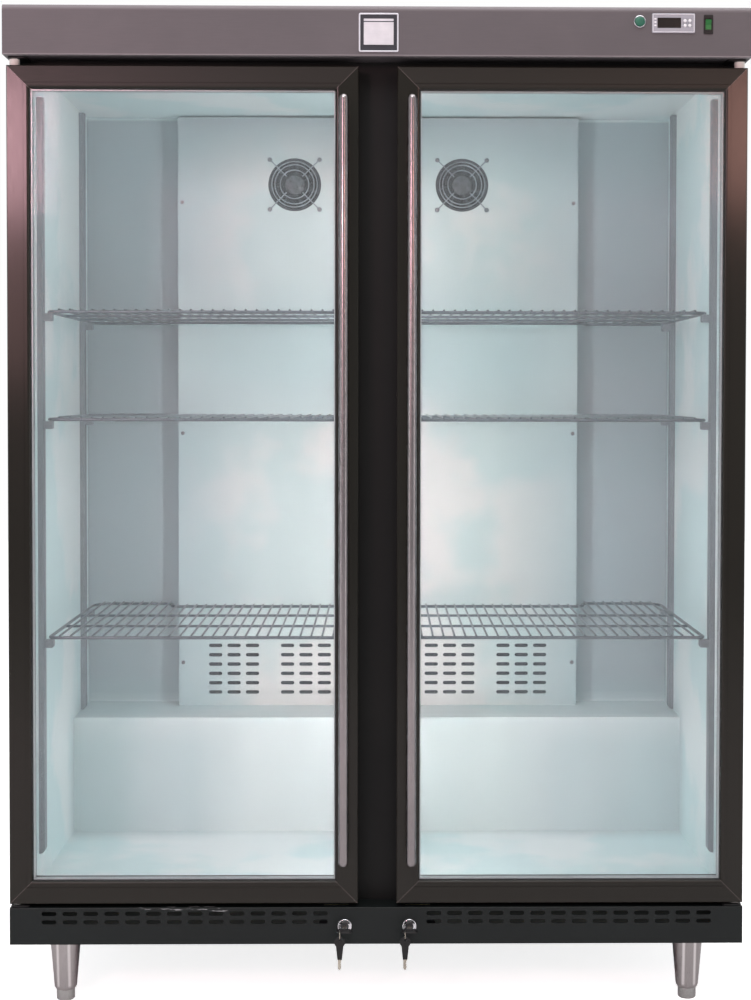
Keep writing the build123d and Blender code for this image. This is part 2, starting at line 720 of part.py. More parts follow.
fan_frames = []
fan_guards = []
for fan_name, fan_x in (("left", -FAN_X), ("right", FAN_X)):
    half_frame = FAN_FRAME / 2
    with BuildPart() as fan_frame:
        frame_x = (fan_x - half_frame, fan_x + half_frame)
        block(frame_x, FAN_FRAME_DEPTH, (FAN_Z - half_frame, FAN_Z + half_frame))
        fillet(fan_frame.edges().filter_by(Axis.Y), 5)
        rod(fan_x, FAN_FRAME_DEPTH, FAN_Z, FAN_BORE_RADIUS, Mode.SUBTRACT)
        rod(fan_x, MOTOR_DISC, FAN_Z, ROTOR_HUB_RADIUS)
        for quarter in range(4):
            turn = Location((fan_x, y(sum(MOTOR_DISC) / 2), FAN_Z), (0, 45 + quarter * 90, 0))
            with Locations(turn * Location((STRUT_MIDDLE, 0, 0))):
                Box(STRUT_LENGTH, MOTOR_DISC[1] - MOTOR_DISC[0], STRUT_WIDTH)
        rod(fan_x, (ROTOR_DEPTH[1] - ROTOR_BORE_DEEP + 2, MOTOR_DISC[0]), FAN_Z, SHAFT_RADIUS)
    fan_frames.append(fan_frame.part)

    write(fan_rotor(fan_x, FAN_Z), f"fan_rotor_{fan_name}")

    with BuildPart() as fan_guard:
        guard_plane = Plane((fan_x, y(GUARD_DEPTH), FAN_Z), x_dir=(1, 0, 0), z_dir=(0, -1, 0))
        loop_reach = FAN_HOLE_HALF_PITCH * math.sqrt(2)
        with BuildSketch(guard_plane):
            for ring_radius in GUARD_RINGS:
                Circle(ring_radius + GUARD_WIRE / 2)
                Circle(ring_radius - GUARD_WIRE / 2, mode=Mode.SUBTRACT)
            with PolarLocations((loop_reach + GUARD_RINGS[-1]) / 2, 4, start_angle=45):
                Rectangle(loop_reach - GUARD_RINGS[-1], GUARD_WIRE)
        extrude(amount=-GUARD_WIRE)
        with BuildSketch(guard_plane):
            with PolarLocations(loop_reach, 4, start_angle=45):
                Circle(LOOP_RADIUS)
                Circle(LOOP_RADIUS - GUARD_WIRE, mode=Mode.SUBTRACT)
        extrude(amount=GUARD_DEPTH - COVER_FRONT)
    fan_guards.append(fan_guard.part)
write_group(fan_frames, "fan_frames")
write_group(fan_guards, "fan_guards")


# Shelf uprights: on both side walls front and rear, behind the mullion, and on the evaporator cover

FRONT_UPRIGHT_Z = (250, 1612)
REAR_UPRIGHT_Z = (432, 1655)
MIDDLE_REAR_UPRIGHT_Z = (600, 1400)
UPRIGHT_ROUNDING = 8


def side_upright(side, depth, z):
    """Upright on a side wall, its lower end rounded towards the room."""
    with BuildPart() as upright:
        wall = side * CAVITY_HALF
        face_x = side * (CAVITY_HALF - PILASTER_THICK)
        block((min(wall, face_x), max(wall, face_x)), (depth, depth + PILASTER_WIDTH), z)
        lower = upright.edges().filter_by(Axis.Y).group_by(Axis.Z)[0]
        fillet(lower.sort_by(Axis.X)[-1 if side < 0 else 0], UPRIGHT_ROUNDING)
    return upright.part


def inner_upright(side, depth, z):
    """Upright close to the middle of the cabinet, flat on the mullion or on the cover."""
    with BuildPart() as upright:
        half = PILASTER_WIDTH / 2
        middle = side * INNER_PILASTER_X
        block((middle - half, middle + half), (depth, depth + INNER_PILASTER_THICK), z)
        fillet(upright.edges().filter_by(Axis.Z), 1)
    return upright.part


uprights = []
for side in (-1, 1):
    uprights.append(side_upright(side, SIDE_PILASTER_DEPTHS[0], FRONT_UPRIGHT_Z))
    uprights.append(side_upright(side, SIDE_PILASTER_DEPTHS[1], REAR_UPRIGHT_Z))
    uprights.append(inner_upright(side, MULLION_BACK, FRONT_UPRIGHT_Z))
    uprights.append(inner_upright(side, COVER_FRONT - INNER_PILASTER_THICK, MIDDLE_REAR_UPRIGHT_Z))
write_group(uprights, "shelf_pilasters")


# Shelf clips: one under each corner of each shelf

def clip(x, depth, top):
    """Small bracket with a rounded underside that a shelf rim rests on."""
    with BuildPart() as bracket:
        block(x, depth, (top - CLIP_HEIGHT, top))
        fillet(bracket.edges().filter_by(Axis.Y).group_by(Axis.Z)[0], 3)
    return bracket.part


clips = []
inner_clip_x = (INNER_PILASTER_X - CLIP_HALF, INNER_PILASTER_X + CLIP_HALF)
outer_face = CAVITY_HALF - PILASTER_THICK
outer_clip_x = (outer_face - CLIP_REACH, outer_face)
mullion_face = MULLION_BACK + INNER_PILASTER_THICK
cover_face = COVER_FRONT - INNER_PILASTER_THICK
for level in SHELF_LEVELS.values():
    rest = level - RIM_RADIUS
    corner_clips = [
        clip(inner_clip_x, (mullion_face, mullion_face + CLIP_REACH), rest),
        clip(inner_clip_x, (cover_face - REAR_CLIP_REACH, cover_face), rest),
    ]
    for depth in SIDE_PILASTER_DEPTHS:
        clip_depth = (depth + CLIP_INSET, depth + PILASTER_WIDTH - CLIP_INSET)
        corner_clips.append(clip(outer_clip_x, clip_depth, rest))
    clips += corner_clips
    clips += [mirrored(corner) for corner in corner_clips]
write_group(clips, "shelf_clips")


# Wire shelf: a bent rim with a step round the evaporator cover, cross bars, and wires welded on top

RIM_BEND = 14
CROSS_BAR_DEPTHS = (260, 410)
rim_corners = [
    (SHELF_INNER, SHELF_FRONT),
    (SHELF_OUTER, SHELF_FRONT),
    (SHELF_OUTER, SHELF_REAR),
    (SHELF_NOTCH_X, SHELF_REAR),
    (SHELF_NOTCH_X, SHELF_NOTCH_REAR),
    (SHELF_INNER, SHELF_NOTCH_REAR),
]

with BuildPart() as shelf:
    with BuildLine() as rim_path:
        FilletPolyline([(x, y(depth), 0) for x, depth in rim_corners], radius=RIM_BEND, close=True)
    rim_start = rim_path.line @ 0
    with BuildSketch(Plane(origin=rim_start, z_dir=rim_path.line % 0)):
        Circle(RIM_RADIUS)
    sweep(path=rim_path.line)
    wire_pitch = (SHELF_OUTER - SHELF_INNER) / (WIRE_COUNT + 1)
    for index in range(WIRE_COUNT):
        wire_x = SHELF_INNER + (index + 1) * wire_pitch
        wire_rear = SHELF_NOTCH_REAR if wire_x < SHELF_NOTCH_X + RIM_RADIUS else SHELF_REAR
        block(
            (wire_x - WIRE_HALF, wire_x + WIRE_HALF),
            (SHELF_FRONT - WIRE_HALF, wire_rear + WIRE_HALF),
            (WIRE_LIFT - WIRE_HALF, WIRE_LIFT + WIRE_HALF),
        )
    for depth in CROSS_BAR_DEPTHS:
        cross_depth = (depth - CROSS_BAR_HALF, depth + CROSS_BAR_HALF)
        block((SHELF_INNER, SHELF_OUTER), cross_depth, (-CROSS_BAR_HALF, CROSS_BAR_HALF))
for level_name, level in SHELF_LEVELS.items():
    right_shelf = shelf.part.moved(Location((0, 0, level)))
    write(right_shelf, f"shelf_right_{level_name}")
    write(mirrored(right_shelf), f"shelf_left_{level_name}")


# Base: a floor sheet with a skirt on each side, and the slotted front panel with its top rail

with BuildPart() as tray_floor:
    block((-BASE_HALF, BASE_HALF), (BASE_FRONT + SHEET, BACK), (BASE_BOTTOM, BASE_BOTTOM + SHEET))

tray = [tray_floor.part]
for side in (-1, 1):
    with BuildPart() as skirt:
        skirt_x = sorted((side * (BASE_HALF - SHEET), side * BASE_HALF))
        block(skirt_x, (BASE_FRONT + SHEET, BACK), (BASE_BOTTOM + SHEET, BASE_TOP))
    tray.append(skirt.part)
write_group(tray, "base_tray")

BARREL_HOLE_RADIUS = 9.7

with BuildPart() as base_grille:
    block((-BASE_HALF, BASE_HALF), (BASE_FRONT, BASE_FRONT + SHEET), (BASE_BOTTOM, BASE_TOP))
    rail_half = BASE_HALF - SHEET
    block((-rail_half, rail_half), (BASE_FRONT, FRAME_BACK), (BASE_TOP - SHEET, BASE_TOP))
    top_front = base_grille.edges().filter_by(Axis.X).group_by(Axis.Z)[-1].group_by(Axis.Y)[0]
    fillet(top_front, SHEET * 0.75)
    vent_plane = Plane((0, y(BASE_FRONT), 0), x_dir=(1, 0, 0), z_dir=(0, -1, 0))
    with BuildSketch(vent_plane):
        for side in (-1, 1):
            for row_z in VENT_ROWS:
                for column in range(VENT_COUNT):
                    with Locations((side * (VENT_FIRST_X + column * VENT_PITCH), row_z)):
                        SlotOverall(VENT_LENGTH, VENT_HEIGHT)
            with Locations((side * LOCK_X, LOCK_Z)):
                Circle(BARREL_HOLE_RADIUS)
    extrude(amount=-SHEET, mode=Mode.SUBTRACT)
    for side in (-1, 1):
        slot_x = sorted((side * CAM_SLOT_X[0], side * CAM_SLOT_X[1]))
        block(slot_x, CAM_SLOT_DEPTH, (BASE_TOP - SHEET, BASE_TOP), mode=Mode.SUBTRACT)
write(base_grille.part, "base_grille")


# Legs and their adjustable feet

STEM_BORE_TOP = STEM_TOP + 4
FOOT_NAMES = {(-1, 0): "front_left", (1, 0): "front_right", (-1, 1): "rear_left", (1, 1): "rear_right"}

legs = []
for side in (-1, 1):
    for row, leg_depth in enumerate(LEG_DEPTHS):
        centre = (side * LEG_X, y(leg_depth))
        with BuildPart() as leg:
            with BuildSketch(Plane.XZ.offset(-centre[1])):
                with BuildLine():
                    Polyline(
                        (centre[0], FOOT_TOP),
                        (centre[0] + LEG_END_RADIUS - 2, FOOT_TOP),
                        (centre[0] + LEG_END_RADIUS, FOOT_TOP + 4),
                        (centre[0] + LEG_TOP_RADIUS, BASE_BOTTOM - 4),
                        (centre[0] + LEG_TOP_RADIUS, BASE_BOTTOM),
                        (centre[0], BASE_BOTTOM),
                        close=True,
                    )
                make_face()
            revolve(axis=Axis((centre[0], centre[1], 0), (0, 0, 1)))
            post(centre[0], leg_depth, (FOOT_TOP, STEM_BORE_TOP), STEM_RADIUS + RUNNING_GAP, Mode.SUBTRACT)
        legs.append(leg.part)

        with BuildPart() as foot:
            post(centre[0], leg_depth, (0, FOOT_TOP), FOOT_RADIUS)
            chamfer(foot.edges().group_by(Axis.Z)[0], 1.5)
            fillet(foot.edges().group_by(Axis.Z)[-1], 2)
            post(centre[0], leg_depth, (FOOT_TOP, STEM_TOP), STEM_RADIUS)
        write(foot.part, f"foot_{FOOT_NAMES[side, row]}")
write_group(legs, "legs")


# Doors: four mitred bars, a sealed glass unit, its spacer, a gasket and a tube handle each

def bar_front():
    """Front of a frame bar's section: first the distance from the outer edge, then the depth."""
    return [
        (0, DOOR_FRONT + EDGE_BEVEL),
        (EDGE_BEVEL, DOOR_FRONT),
        (GROOVE[0], DOOR_FRONT),
        (GROOVE[0], DOOR_FRONT + GROOVE_DEEP),
        (GROOVE[1], DOOR_FRONT + GROOVE_DEEP),
        (GROOVE[1], DOOR_FRONT),
    ]


def frame_bar_solid(start, along, inward, length, hinge_x, side):
    """One frame bar with both ends mitred, bored for the hinge pins and slotted for the lock cam."""
    start_point = Vector(start[0], 0, start[1])
    section_plane = Plane(start_point, x_dir=inward, z_dir=along)
    with BuildPart() as bar:
        with BuildSketch(section_plane):
            with BuildLine():
                front = [(w, y(depth)) for w, depth in bar_front()]
                Polyline(front + [(BAR - BEAD, y(DOOR_FRONT))])
                CenterArc((BAR - BEAD, y(DOOR_FRONT + BEAD)), BEAD, -90, 90)
                Polyline(
                    (BAR, y(PANE_FRONT)),
                    (REBATE, y(PANE_FRONT)),
                    (REBATE, y(PANE_BACK)),
                    (BAR, y(PANE_BACK)),
                    (BAR, y(DOOR_BACK - EDGE_BEVEL)),
                    (BAR - EDGE_BEVEL, y(DOOR_BACK)),
                    (0, y(DOOR_BACK)),
                    front[0],
                )
            make_face()
        extrude(amount=length)
        inward_vector = Vector(*inward)
        along_vector = Vector(*along)
        split(bisect_by=Plane(start_point, z_dir=along_vector - inward_vector), keep=Keep.TOP)
        end_point = start_point + along_vector * length
        split(bisect_by=Plane(end_point, z_dir=along_vector + inward_vector), keep=Keep.BOTTOM)
        bore = BUSH_RADIUS + RUNNING_GAP
        bore_length = PIN_LENGTH + 2
        post(hinge_x, HINGE_DEPTH, (DOOR_BOTTOM, DOOR_BOTTOM + bore_length), bore, Mode.SUBTRACT)
        post(hinge_x, HINGE_DEPTH, (DOOR_TOP - bore_length, DOOR_TOP), bore, Mode.SUBTRACT)
        slot_x = sorted((side * CAM_SLOT_X[0], side * CAM_SLOT_X[1]))
        block(slot_x, CAM_SLOT_DEPTH, (DOOR_BOTTOM, DOOR_BOTTOM + CAM_ROOM), mode=Mode.SUBTRACT)
    return bar.part


def ring(half_plan, z, depth, width):
    """Rectangular ring between two depths, its outline given by X and Z limits."""
    block(half_plan, depth, z)
    inner_x = (half_plan[0] + width, half_plan[1] - width)
    inner_z = (z[0] + width, z[1] - width)
    block(inner_x, depth, inner_z, mode=Mode.SUBTRACT)


PANE_INSET = REBATE + PANE_GAP
pane_x = (DOOR_INNER + PANE_INSET, DOOR_OUTER - PANE_INSET)
pane_z = (DOOR_BOTTOM + PANE_INSET, DOOR_TOP - PANE_INSET)
door_height = DOOR_TOP - DOOR_BOTTOM
door_width = DOOR_OUTER - DOOR_INNER

with BuildPart() as glass:
    block(pane_x, (PANE_FRONT, PANE_FRONT + PANE), pane_z)
    block(pane_x, (PANE_BACK - PANE, PANE_BACK), pane_z)

with BuildPart() as spacer:
    ring(pane_x, pane_z, (PANE_FRONT + PANE, PANE_BACK - PANE), SPACER_WIDTH)

with BuildPart() as gasket:
    gasket_x = (MULLION_HALF - GASKET_WIDTH - 2, GASKET_OUTER)
    gasket_z = (FLOOR - GASKET_WIDTH, HEADER_BOTTOM + GASKET_WIDTH + 4)
    ring(gasket_x, gasket_z, (DOOR_BACK, CABINET_FRONT), GASKET_WIDTH)

handle_depth = HANDLE_RADIUS - HANDLE_REACH
with BuildPart() as handle_bar:
    dome_levels = (HANDLE_BOTTOM + HANDLE_RADIUS, HANDLE_TOP - HANDLE_RADIUS)
    post(HANDLE_X, handle_depth, dome_levels, HANDLE_RADIUS)
    with Locations([(HANDLE_X, y(handle_depth), level) for level in dome_levels]):
        Sphere(HANDLE_RADIUS)

handle_posts = []
for post_z in (HANDLE_BOTTOM + POST_INSET, HANDLE_TOP - POST_INSET):
    with BuildPart() as handle_post:
        rod(HANDLE_X, (handle_depth, DOOR_FRONT), post_z, POST_RADIUS)
        rod(HANDLE_X, (DOOR_FRONT - POST_COLLAR_THICK, DOOR_FRONT), post_z, POST_RADIUS + POST_COLLAR)
        post(HANDLE_X, handle_depth, (post_z - PIN_LENGTH, post_z + PIN_LENGTH), HANDLE_RADIUS, Mode.SUBTRACT)
    handle_posts.append(handle_post.part)

for door_name, side in (("left", -1), ("right", 1)):
    low_x, high_x = sorted((side * DOOR_INNER, side * DOOR_OUTER))
    hinge_x = side * HINGE_X
    bars = [
        frame_bar_solid((low_x, DOOR_BOTTOM), (0, 0, 1), (1, 0, 0), door_height, hinge_x, side),
        frame_bar_solid((low_x, DOOR_TOP), (1, 0, 0), (0, 0, -1), door_width, hinge_x, side),
        frame_bar_solid((high_x, DOOR_TOP), (0, 0, -1), (-1, 0, 0), door_height, hinge_x, side),
        frame_bar_solid((high_x, DOOR_BOTTOM), (-1, 0, 0), (0, 0, 1), door_width, hinge_x, side),
    ]
    write_group(bars, f"door_{door_name}_frame")
    handle = [handle_bar.part] + handle_posts
    for piece, piece_name in ((glass, "glass"), (spacer, "spacer"), (gasket, "gasket")):
        placed = piece.part if side > 0 else mirrored(piece.part)
        write(placed, f"door_{door_name}_{piece_name}")
    write_group([solid if side > 0 else mirrored(solid) for solid in handle], f"door_{door_name}_handle")


# Hinges: a bracket with a pin above and below each door, and a nylon bush on each pin

BRACKET_INNER_X = 612
BRACKET_FRONT = 16

brackets = []
bushes = []
for side in (-1, 1):
    for door_edge, up in ((DOOR_BOTTOM, 1), (DOOR_TOP, -1)):
        if up > 0:
            plate_z = (BASE_TOP, BASE_TOP + BRACKET_THICK)
        else:
            plate_z = (CANOPY_BOTTOM - BRACKET_THICK, CANOPY_BOTTOM)
        plate_face = plate_z[1] if up > 0 else plate_z[0]
        pin_end = door_edge + up * PIN_LENGTH
        plate_x = sorted((side * BRACKET_INNER_X, side * (BASE_HALF - 1)))
        with BuildPart() as bracket:
            block(plate_x, (BRACKET_FRONT, CABINET_FRONT), plate_z)
            fillet(bracket.edges().filter_by(Axis.Z).group_by(Axis.Y)[0], 6)
            post(side * HINGE_X, HINGE_DEPTH, sorted((plate_face, pin_end)), PIN_RADIUS)
        brackets.append(bracket.part)

        flange_z = sorted((plate_face, door_edge))
        with BuildPart() as bush:
            post(side * HINGE_X, HINGE_DEPTH, (flange_z[0] + 0.2, flange_z[1] - 0.2), BUSH_FLANGE)
            sleeve_z = sorted((plate_face + up * 0.2, pin_end))
            post(side * HINGE_X, HINGE_DEPTH, sleeve_z, BUSH_RADIUS)
            post(side * HINGE_X, HINGE_DEPTH, sleeve_z, PIN_RADIUS + RUNNING_GAP, Mode.SUBTRACT)
        bushes.append(bush.part)
write_group(brackets, "hinge_brackets")
write_group(bushes, "hinge_bushes")


# Cam locks: a barrel held in the base panel by its nut, and a core that carries key and cam

BEZEL_RADIUS = 12.6
BARREL_RADIUS = 9.5
CORE_RADIUS = 7
BEZEL_FRONT = 9
BARREL_BACK = 28
KEY_BOW_FRONT = -26.5
KEY_BOW_BACK = -8
KEY_BOW_HALF = 13
KEY_SLOT_HALF = 10.5
KEY_SLOT = (-23, -15.5)
KEY_NECK = 9
NUT_THICK = 4
SPARE_HEAD_RADIUS = 9.5
SPARE_BLADE_HALF = 3.2
SPARE_NECK_END = -30.5
SPARE_TIP = -48.5

barrels = []
for side, lock_name in ((-1, "left"), (1, "right")):
    lock_x = side * LOCK_X
    lock_plane = Plane((lock_x, y(0), LOCK_Z), x_dir=(1, 0, 0), z_dir=(0, -1, 0))
    with BuildPart() as barrel:
        rod(lock_x, (BEZEL_FRONT, BASE_FRONT), LOCK_Z, BEZEL_RADIUS)
        fillet(barrel.edges().group_by(Axis.Y)[0], 1.5)
        rod(lock_x, (BASE_FRONT, BARREL_BACK), LOCK_Z, BARREL_RADIUS)
        with BuildSketch(lock_plane.offset(-BASE_FRONT - SHEET)):
            RegularPolygon(BEZEL_RADIUS, 6, rotation=30)
        extrude(amount=-NUT_THICK)
        rod(lock_x, (BEZEL_FRONT, BARREL_BACK), LOCK_Z, CORE_RADIUS + RUNNING_GAP, Mode.SUBTRACT)
    barrels.append(barrel.part)

    with BuildPart() as lock_core:
        rod(lock_x, (BEZEL_FRONT, CAM_DEPTH[1]), LOCK_Z, CORE_RADIUS)
        cam_x = sorted((lock_x, lock_x + side * (CAM_LENGTH - CAM_WIDTH / 2)))
        half_cam = CAM_WIDTH / 2
        block(cam_x, CAM_DEPTH, (LOCK_Z - half_cam, LOCK_Z + half_cam))
        rod(lock_x + side * (CAM_LENGTH - half_cam), CAM_DEPTH, LOCK_Z, half_cam)
        half_key = KEY_THICK / 2
        with BuildSketch(Plane.XY.offset(LOCK_Z - half_key)):
            with Locations((lock_x, y((KEY_BOW_FRONT + KEY_BOW_BACK) / 2))):
                RectangleRounded(2 * KEY_BOW_HALF, KEY_BOW_BACK - KEY_BOW_FRONT, 7)
            with Locations((lock_x, y((KEY_BOW_BACK + BEZEL_FRONT) / 2))):
                Rectangle(KEY_NECK, BEZEL_FRONT - KEY_BOW_BACK + 2)
            with Locations((lock_x, y(sum(KEY_SLOT) / 2))):
                RectangleRounded(2 * KEY_SLOT_HALF, KEY_SLOT[1] - KEY_SLOT[0], 2, mode=Mode.SUBTRACT)
        extrude(amount=KEY_THICK)
    write(lock_core.part, f"lock_core_{lock_name}")

    spare_x = lock_x - SPARE_OFFSET
    with BuildPart() as spare_ring:
        with Locations(Location((spare_x, y(RING_DEPTH), RING_Z), (0, 90, 0))):
            Torus(RING_RADIUS, RING_WIRE)

    with BuildPart() as spare_key:
        half_key = KEY_THICK / 2
        with BuildSketch(Plane((spare_x, y(RING_DEPTH), SPARE_HEAD_Z), x_dir=(1, 0, 0), z_dir=(0, -1, 0))):
            Circle(SPARE_HEAD_RADIUS)
            with BuildLine():
                Polyline((-6.5, -6), (6.5, -6), (4, SPARE_NECK_END), (-4, SPARE_NECK_END), close=True)
            make_face()
            with Locations((0, 4.5)):
                Circle(2, mode=Mode.SUBTRACT)
        extrude(amount=half_key, both=True)
        block(
            (spare_x - SPARE_BLADE_HALF, spare_x + SPARE_BLADE_HALF),
            (RING_DEPTH - 1, RING_DEPTH + 1),
            (SPARE_HEAD_Z + SPARE_TIP, SPARE_HEAD_Z + SPARE_NECK_END + 1),
        )
        chamfer(spare_key.edges().filter_by(Axis.Y).group_by(Axis.Z)[0], 2)
    write_group([spare_ring.part, spare_key.part], f"spare_key_{lock_name}")
write_group(barrels, "lock_barrels")


# Compressor: a welded pot on a mounting plate with four rubber feet and a terminal box

TRAY_TOP = BASE_BOTTOM + SHEET
POT_Z = (TRAY_TOP + 14, TRAY_TOP + 184)
POT_TOP_ROUNDING = 38
POT_BOTTOM_ROUNDING = 14
SEAM = 3
PLATE_HALF_X = 105
PLATE_HALF_DEPTH = 68
PLATE_Z = (TRAY_TOP + 12, TRAY_TOP + 16)
FOOT_OFFSET_X = 88
FOOT_OFFSET_DEPTH = 52
RUBBER_RADIUS = 11
TERMINAL_X = (50, 104)
TERMINAL_HALF_DEPTH = 30
TERMINAL_Z = (TRAY_TOP + 50, TRAY_TOP + 76)
STUB_X = COMPRESSOR[0] - 95
DISCHARGE_STUB = (COMPRESSOR[1], 262)
SUCTION_STUB = (PIPE_DEPTH, 215)

with BuildPart() as compressor:
    post(COMPRESSOR[0], COMPRESSOR[1], POT_Z, COMPRESSOR_RADIUS)
    fillet(compressor.edges().group_by(Axis.Z)[-1], POT_TOP_ROUNDING)
    fillet(compressor.edges().group_by(Axis.Z)[0], POT_BOTTOM_ROUNDING)
    seam_z = sum(POT_Z) / 2
    post(COMPRESSOR[0], COMPRESSOR[1], (seam_z - SEAM, seam_z + SEAM), COMPRESSOR_RADIUS + SEAM)
    block(
        (COMPRESSOR[0] - PLATE_HALF_X, COMPRESSOR[0] + PLATE_HALF_X),
        (COMPRESSOR[1] - PLATE_HALF_DEPTH, COMPRESSOR[1] + PLATE_HALF_DEPTH),
        PLATE_Z,
    )
    for foot_x in (COMPRESSOR[0] - FOOT_OFFSET_X, COMPRESSOR[0] + FOOT_OFFSET_X):
        for foot_depth in (COMPRESSOR[1] - FOOT_OFFSET_DEPTH, COMPRESSOR[1] + FOOT_OFFSET_DEPTH):
            post(foot_x, foot_depth, (TRAY_TOP, TRAY_TOP + 2 * RUBBER_RADIUS), RUBBER_RADIUS)
    block(
        (COMPRESSOR[0] + TERMINAL_X[0], COMPRESSOR[0] + TERMINAL_X[1]),
        (COMPRESSOR[1] - TERMINAL_HALF_DEPTH, COMPRESSOR[1] + TERMINAL_HALF_DEPTH),
        TERMINAL_Z,
    )
    for stub_depth, stub_z in (DISCHARGE_STUB, SUCTION_STUB):
        cross_rod((STUB_X, COMPRESSOR[0]), stub_depth, stub_z, PIPE_RADIUS)
write(compressor.part, "compressor")


# Condenser: fins on tubes, and a shroud with the fan motor on struts

CONDENSER_FINS = 16
CONDENSER_ROWS = 7
CONDENSER_MIDDLE = sum(CONDENSER_X) / 2
HEADER_THICK = 10
SHROUD_THICK = 3
CONDENSER_ROTOR_X = (SHROUD_X + SHROUD_THICK + 1, SHROUD_X + SHROUD_THICK + 19)
CONDENSER_MOTOR_X = (CONDENSER_ROTOR_X[1] + 2, CONDENSER_ROTOR_X[1] + 42)
CONDENSER_MOTOR_RADIUS = 28
MOTOR_STRUT_X = (CONDENSER_MOTOR_X[0] + 8, CONDENSER_MOTOR_X[0] + 12)
MOTOR_STRUT_HALF = 4
MOTOR_STRUT_OFFSET = 10
CONDENSER_BLADES = 5
CONDENSER_BLADE_PITCH = 30
CONDENSER_BLADE_CHORD = 32
FAN_AXIS_DEPTH = sum(CONDENSER_DEPTH) / 2
FAN_AXIS_Z = sum(CONDENSER_Z) / 2

with BuildPart() as condenser_coil:
    fin_margin = HEADER_THICK + 4
    condenser_fin_pitch = (CONDENSER_DEPTH[1] - CONDENSER_DEPTH[0] - 2 * fin_margin) / (CONDENSER_FINS - 1)
    for index in range(CONDENSER_FINS):
        fin_depth = CONDENSER_DEPTH[0] + fin_margin + index * condenser_fin_pitch
        block(CONDENSER_X, (fin_depth - FIN_THICK / 2, fin_depth + FIN_THICK / 2), CONDENSER_Z)
    condenser_row_pitch = (CONDENSER_Z[1] - CONDENSER_Z[0]) / CONDENSER_ROWS
    for row in range(CONDENSER_ROWS):
        tube_z = CONDENSER_Z[0] + (row + 0.5) * condenser_row_pitch
        rod(CONDENSER_MIDDLE, CONDENSER_DEPTH, tube_z, PIPE_RADIUS)
    for header_depth in (CONDENSER_DEPTH[0], CONDENSER_DEPTH[1] - HEADER_THICK):
        block(
            (CONDENSER_MIDDLE - HEADER_THICK, CONDENSER_MIDDLE + HEADER_THICK),
            (header_depth, header_depth + HEADER_THICK),
            CONDENSER_Z,
        )

with BuildPart() as condenser_shroud:
    block((SHROUD_X, SHROUD_X + SHROUD_THICK), CONDENSER_DEPTH, (TRAY_TOP, CONDENSER_Z[1]))
    cross_rod(
        (SHROUD_X, SHROUD_X + SHROUD_THICK),
        FAN_AXIS_DEPTH,
        FAN_AXIS_Z,
        CONDENSER_FAN_RADIUS + 3,
        Mode.SUBTRACT,
    )
    cross_rod(CONDENSER_MOTOR_X, FAN_AXIS_DEPTH, FAN_AXIS_Z, CONDENSER_MOTOR_RADIUS)
    for strut_z in (FAN_AXIS_Z - MOTOR_STRUT_OFFSET, FAN_AXIS_Z + MOTOR_STRUT_OFFSET):
        block(MOTOR_STRUT_X, CONDENSER_DEPTH, (strut_z - MOTOR_STRUT_HALF, strut_z + MOTOR_STRUT_HALF))
    arm_half = MOTOR_STRUT_OFFSET + MOTOR_STRUT_HALF
    for arm_depth in (CONDENSER_DEPTH[0], CONDENSER_DEPTH[1] - MOTOR_STRUT_HALF):
        block(
            (SHROUD_X, MOTOR_STRUT_X[1]),
            (arm_depth, arm_depth + MOTOR_STRUT_HALF),
            (FAN_AXIS_Z - arm_half, FAN_AXIS_Z + arm_half),
        )
    cross_rod((CONDENSER_ROTOR_X[0] + 6, CONDENSER_MOTOR_X[0]), FAN_AXIS_DEPTH, FAN_AXIS_Z, SHAFT_RADIUS)
write_group([condenser_coil.part, condenser_shroud.part], "condenser")

with BuildPart() as condenser_fan_rotor:
    cross_rod(CONDENSER_ROTOR_X, FAN_AXIS_DEPTH, FAN_AXIS_Z, ROTOR_HUB_RADIUS)
    rotor_middle = (sum(CONDENSER_ROTOR_X) / 2, y(FAN_AXIS_DEPTH), FAN_AXIS_Z)
    blade_length = CONDENSER_FAN_RADIUS - ROTOR_HUB_RADIUS + BLADE_ROOT
    blade_middle = (CONDENSER_FAN_RADIUS + ROTOR_HUB_RADIUS - BLADE_ROOT) / 2
    for blade in range(CONDENSER_BLADES):
        turn = Location(rotor_middle, (blade * 360 / CONDENSER_BLADES, 0, 0))
        with Locations(turn * Location((0, blade_middle, 0), (0, CONDENSER_BLADE_PITCH, 0))):
            Box(BLADE_THICK, blade_length, CONDENSER_BLADE_CHORD)
    cross_rod(CONDENSER_ROTOR_X, FAN_AXIS_DEPTH, FAN_AXIS_Z, CONDENSER_FAN_RADIUS, Mode.INTERSECT)
    cross_rod(
        (CONDENSER_ROTOR_X[0] + 4, CONDENSER_ROTOR_X[1]),
        FAN_AXIS_DEPTH,
        FAN_AXIS_Z,
        SHAFT_RADIUS + RUNNING_GAP,
        Mode.SUBTRACT,
    )
write(condenser_fan_rotor.part, "condenser_fan_rotor")


# Refrigerant pipes: discharge to the condenser, and liquid and suction lines up through the step

PIPE_BEND = 12
PIPE_LEVEL = 376
FRONT_HEADER = CONDENSER_DEPTH[0] + HEADER_THICK / 2
REAR_HEADER = CONDENSER_DEPTH[1] - HEADER_THICK / 2
HEADER_TOP = CONDENSER_Z[1]

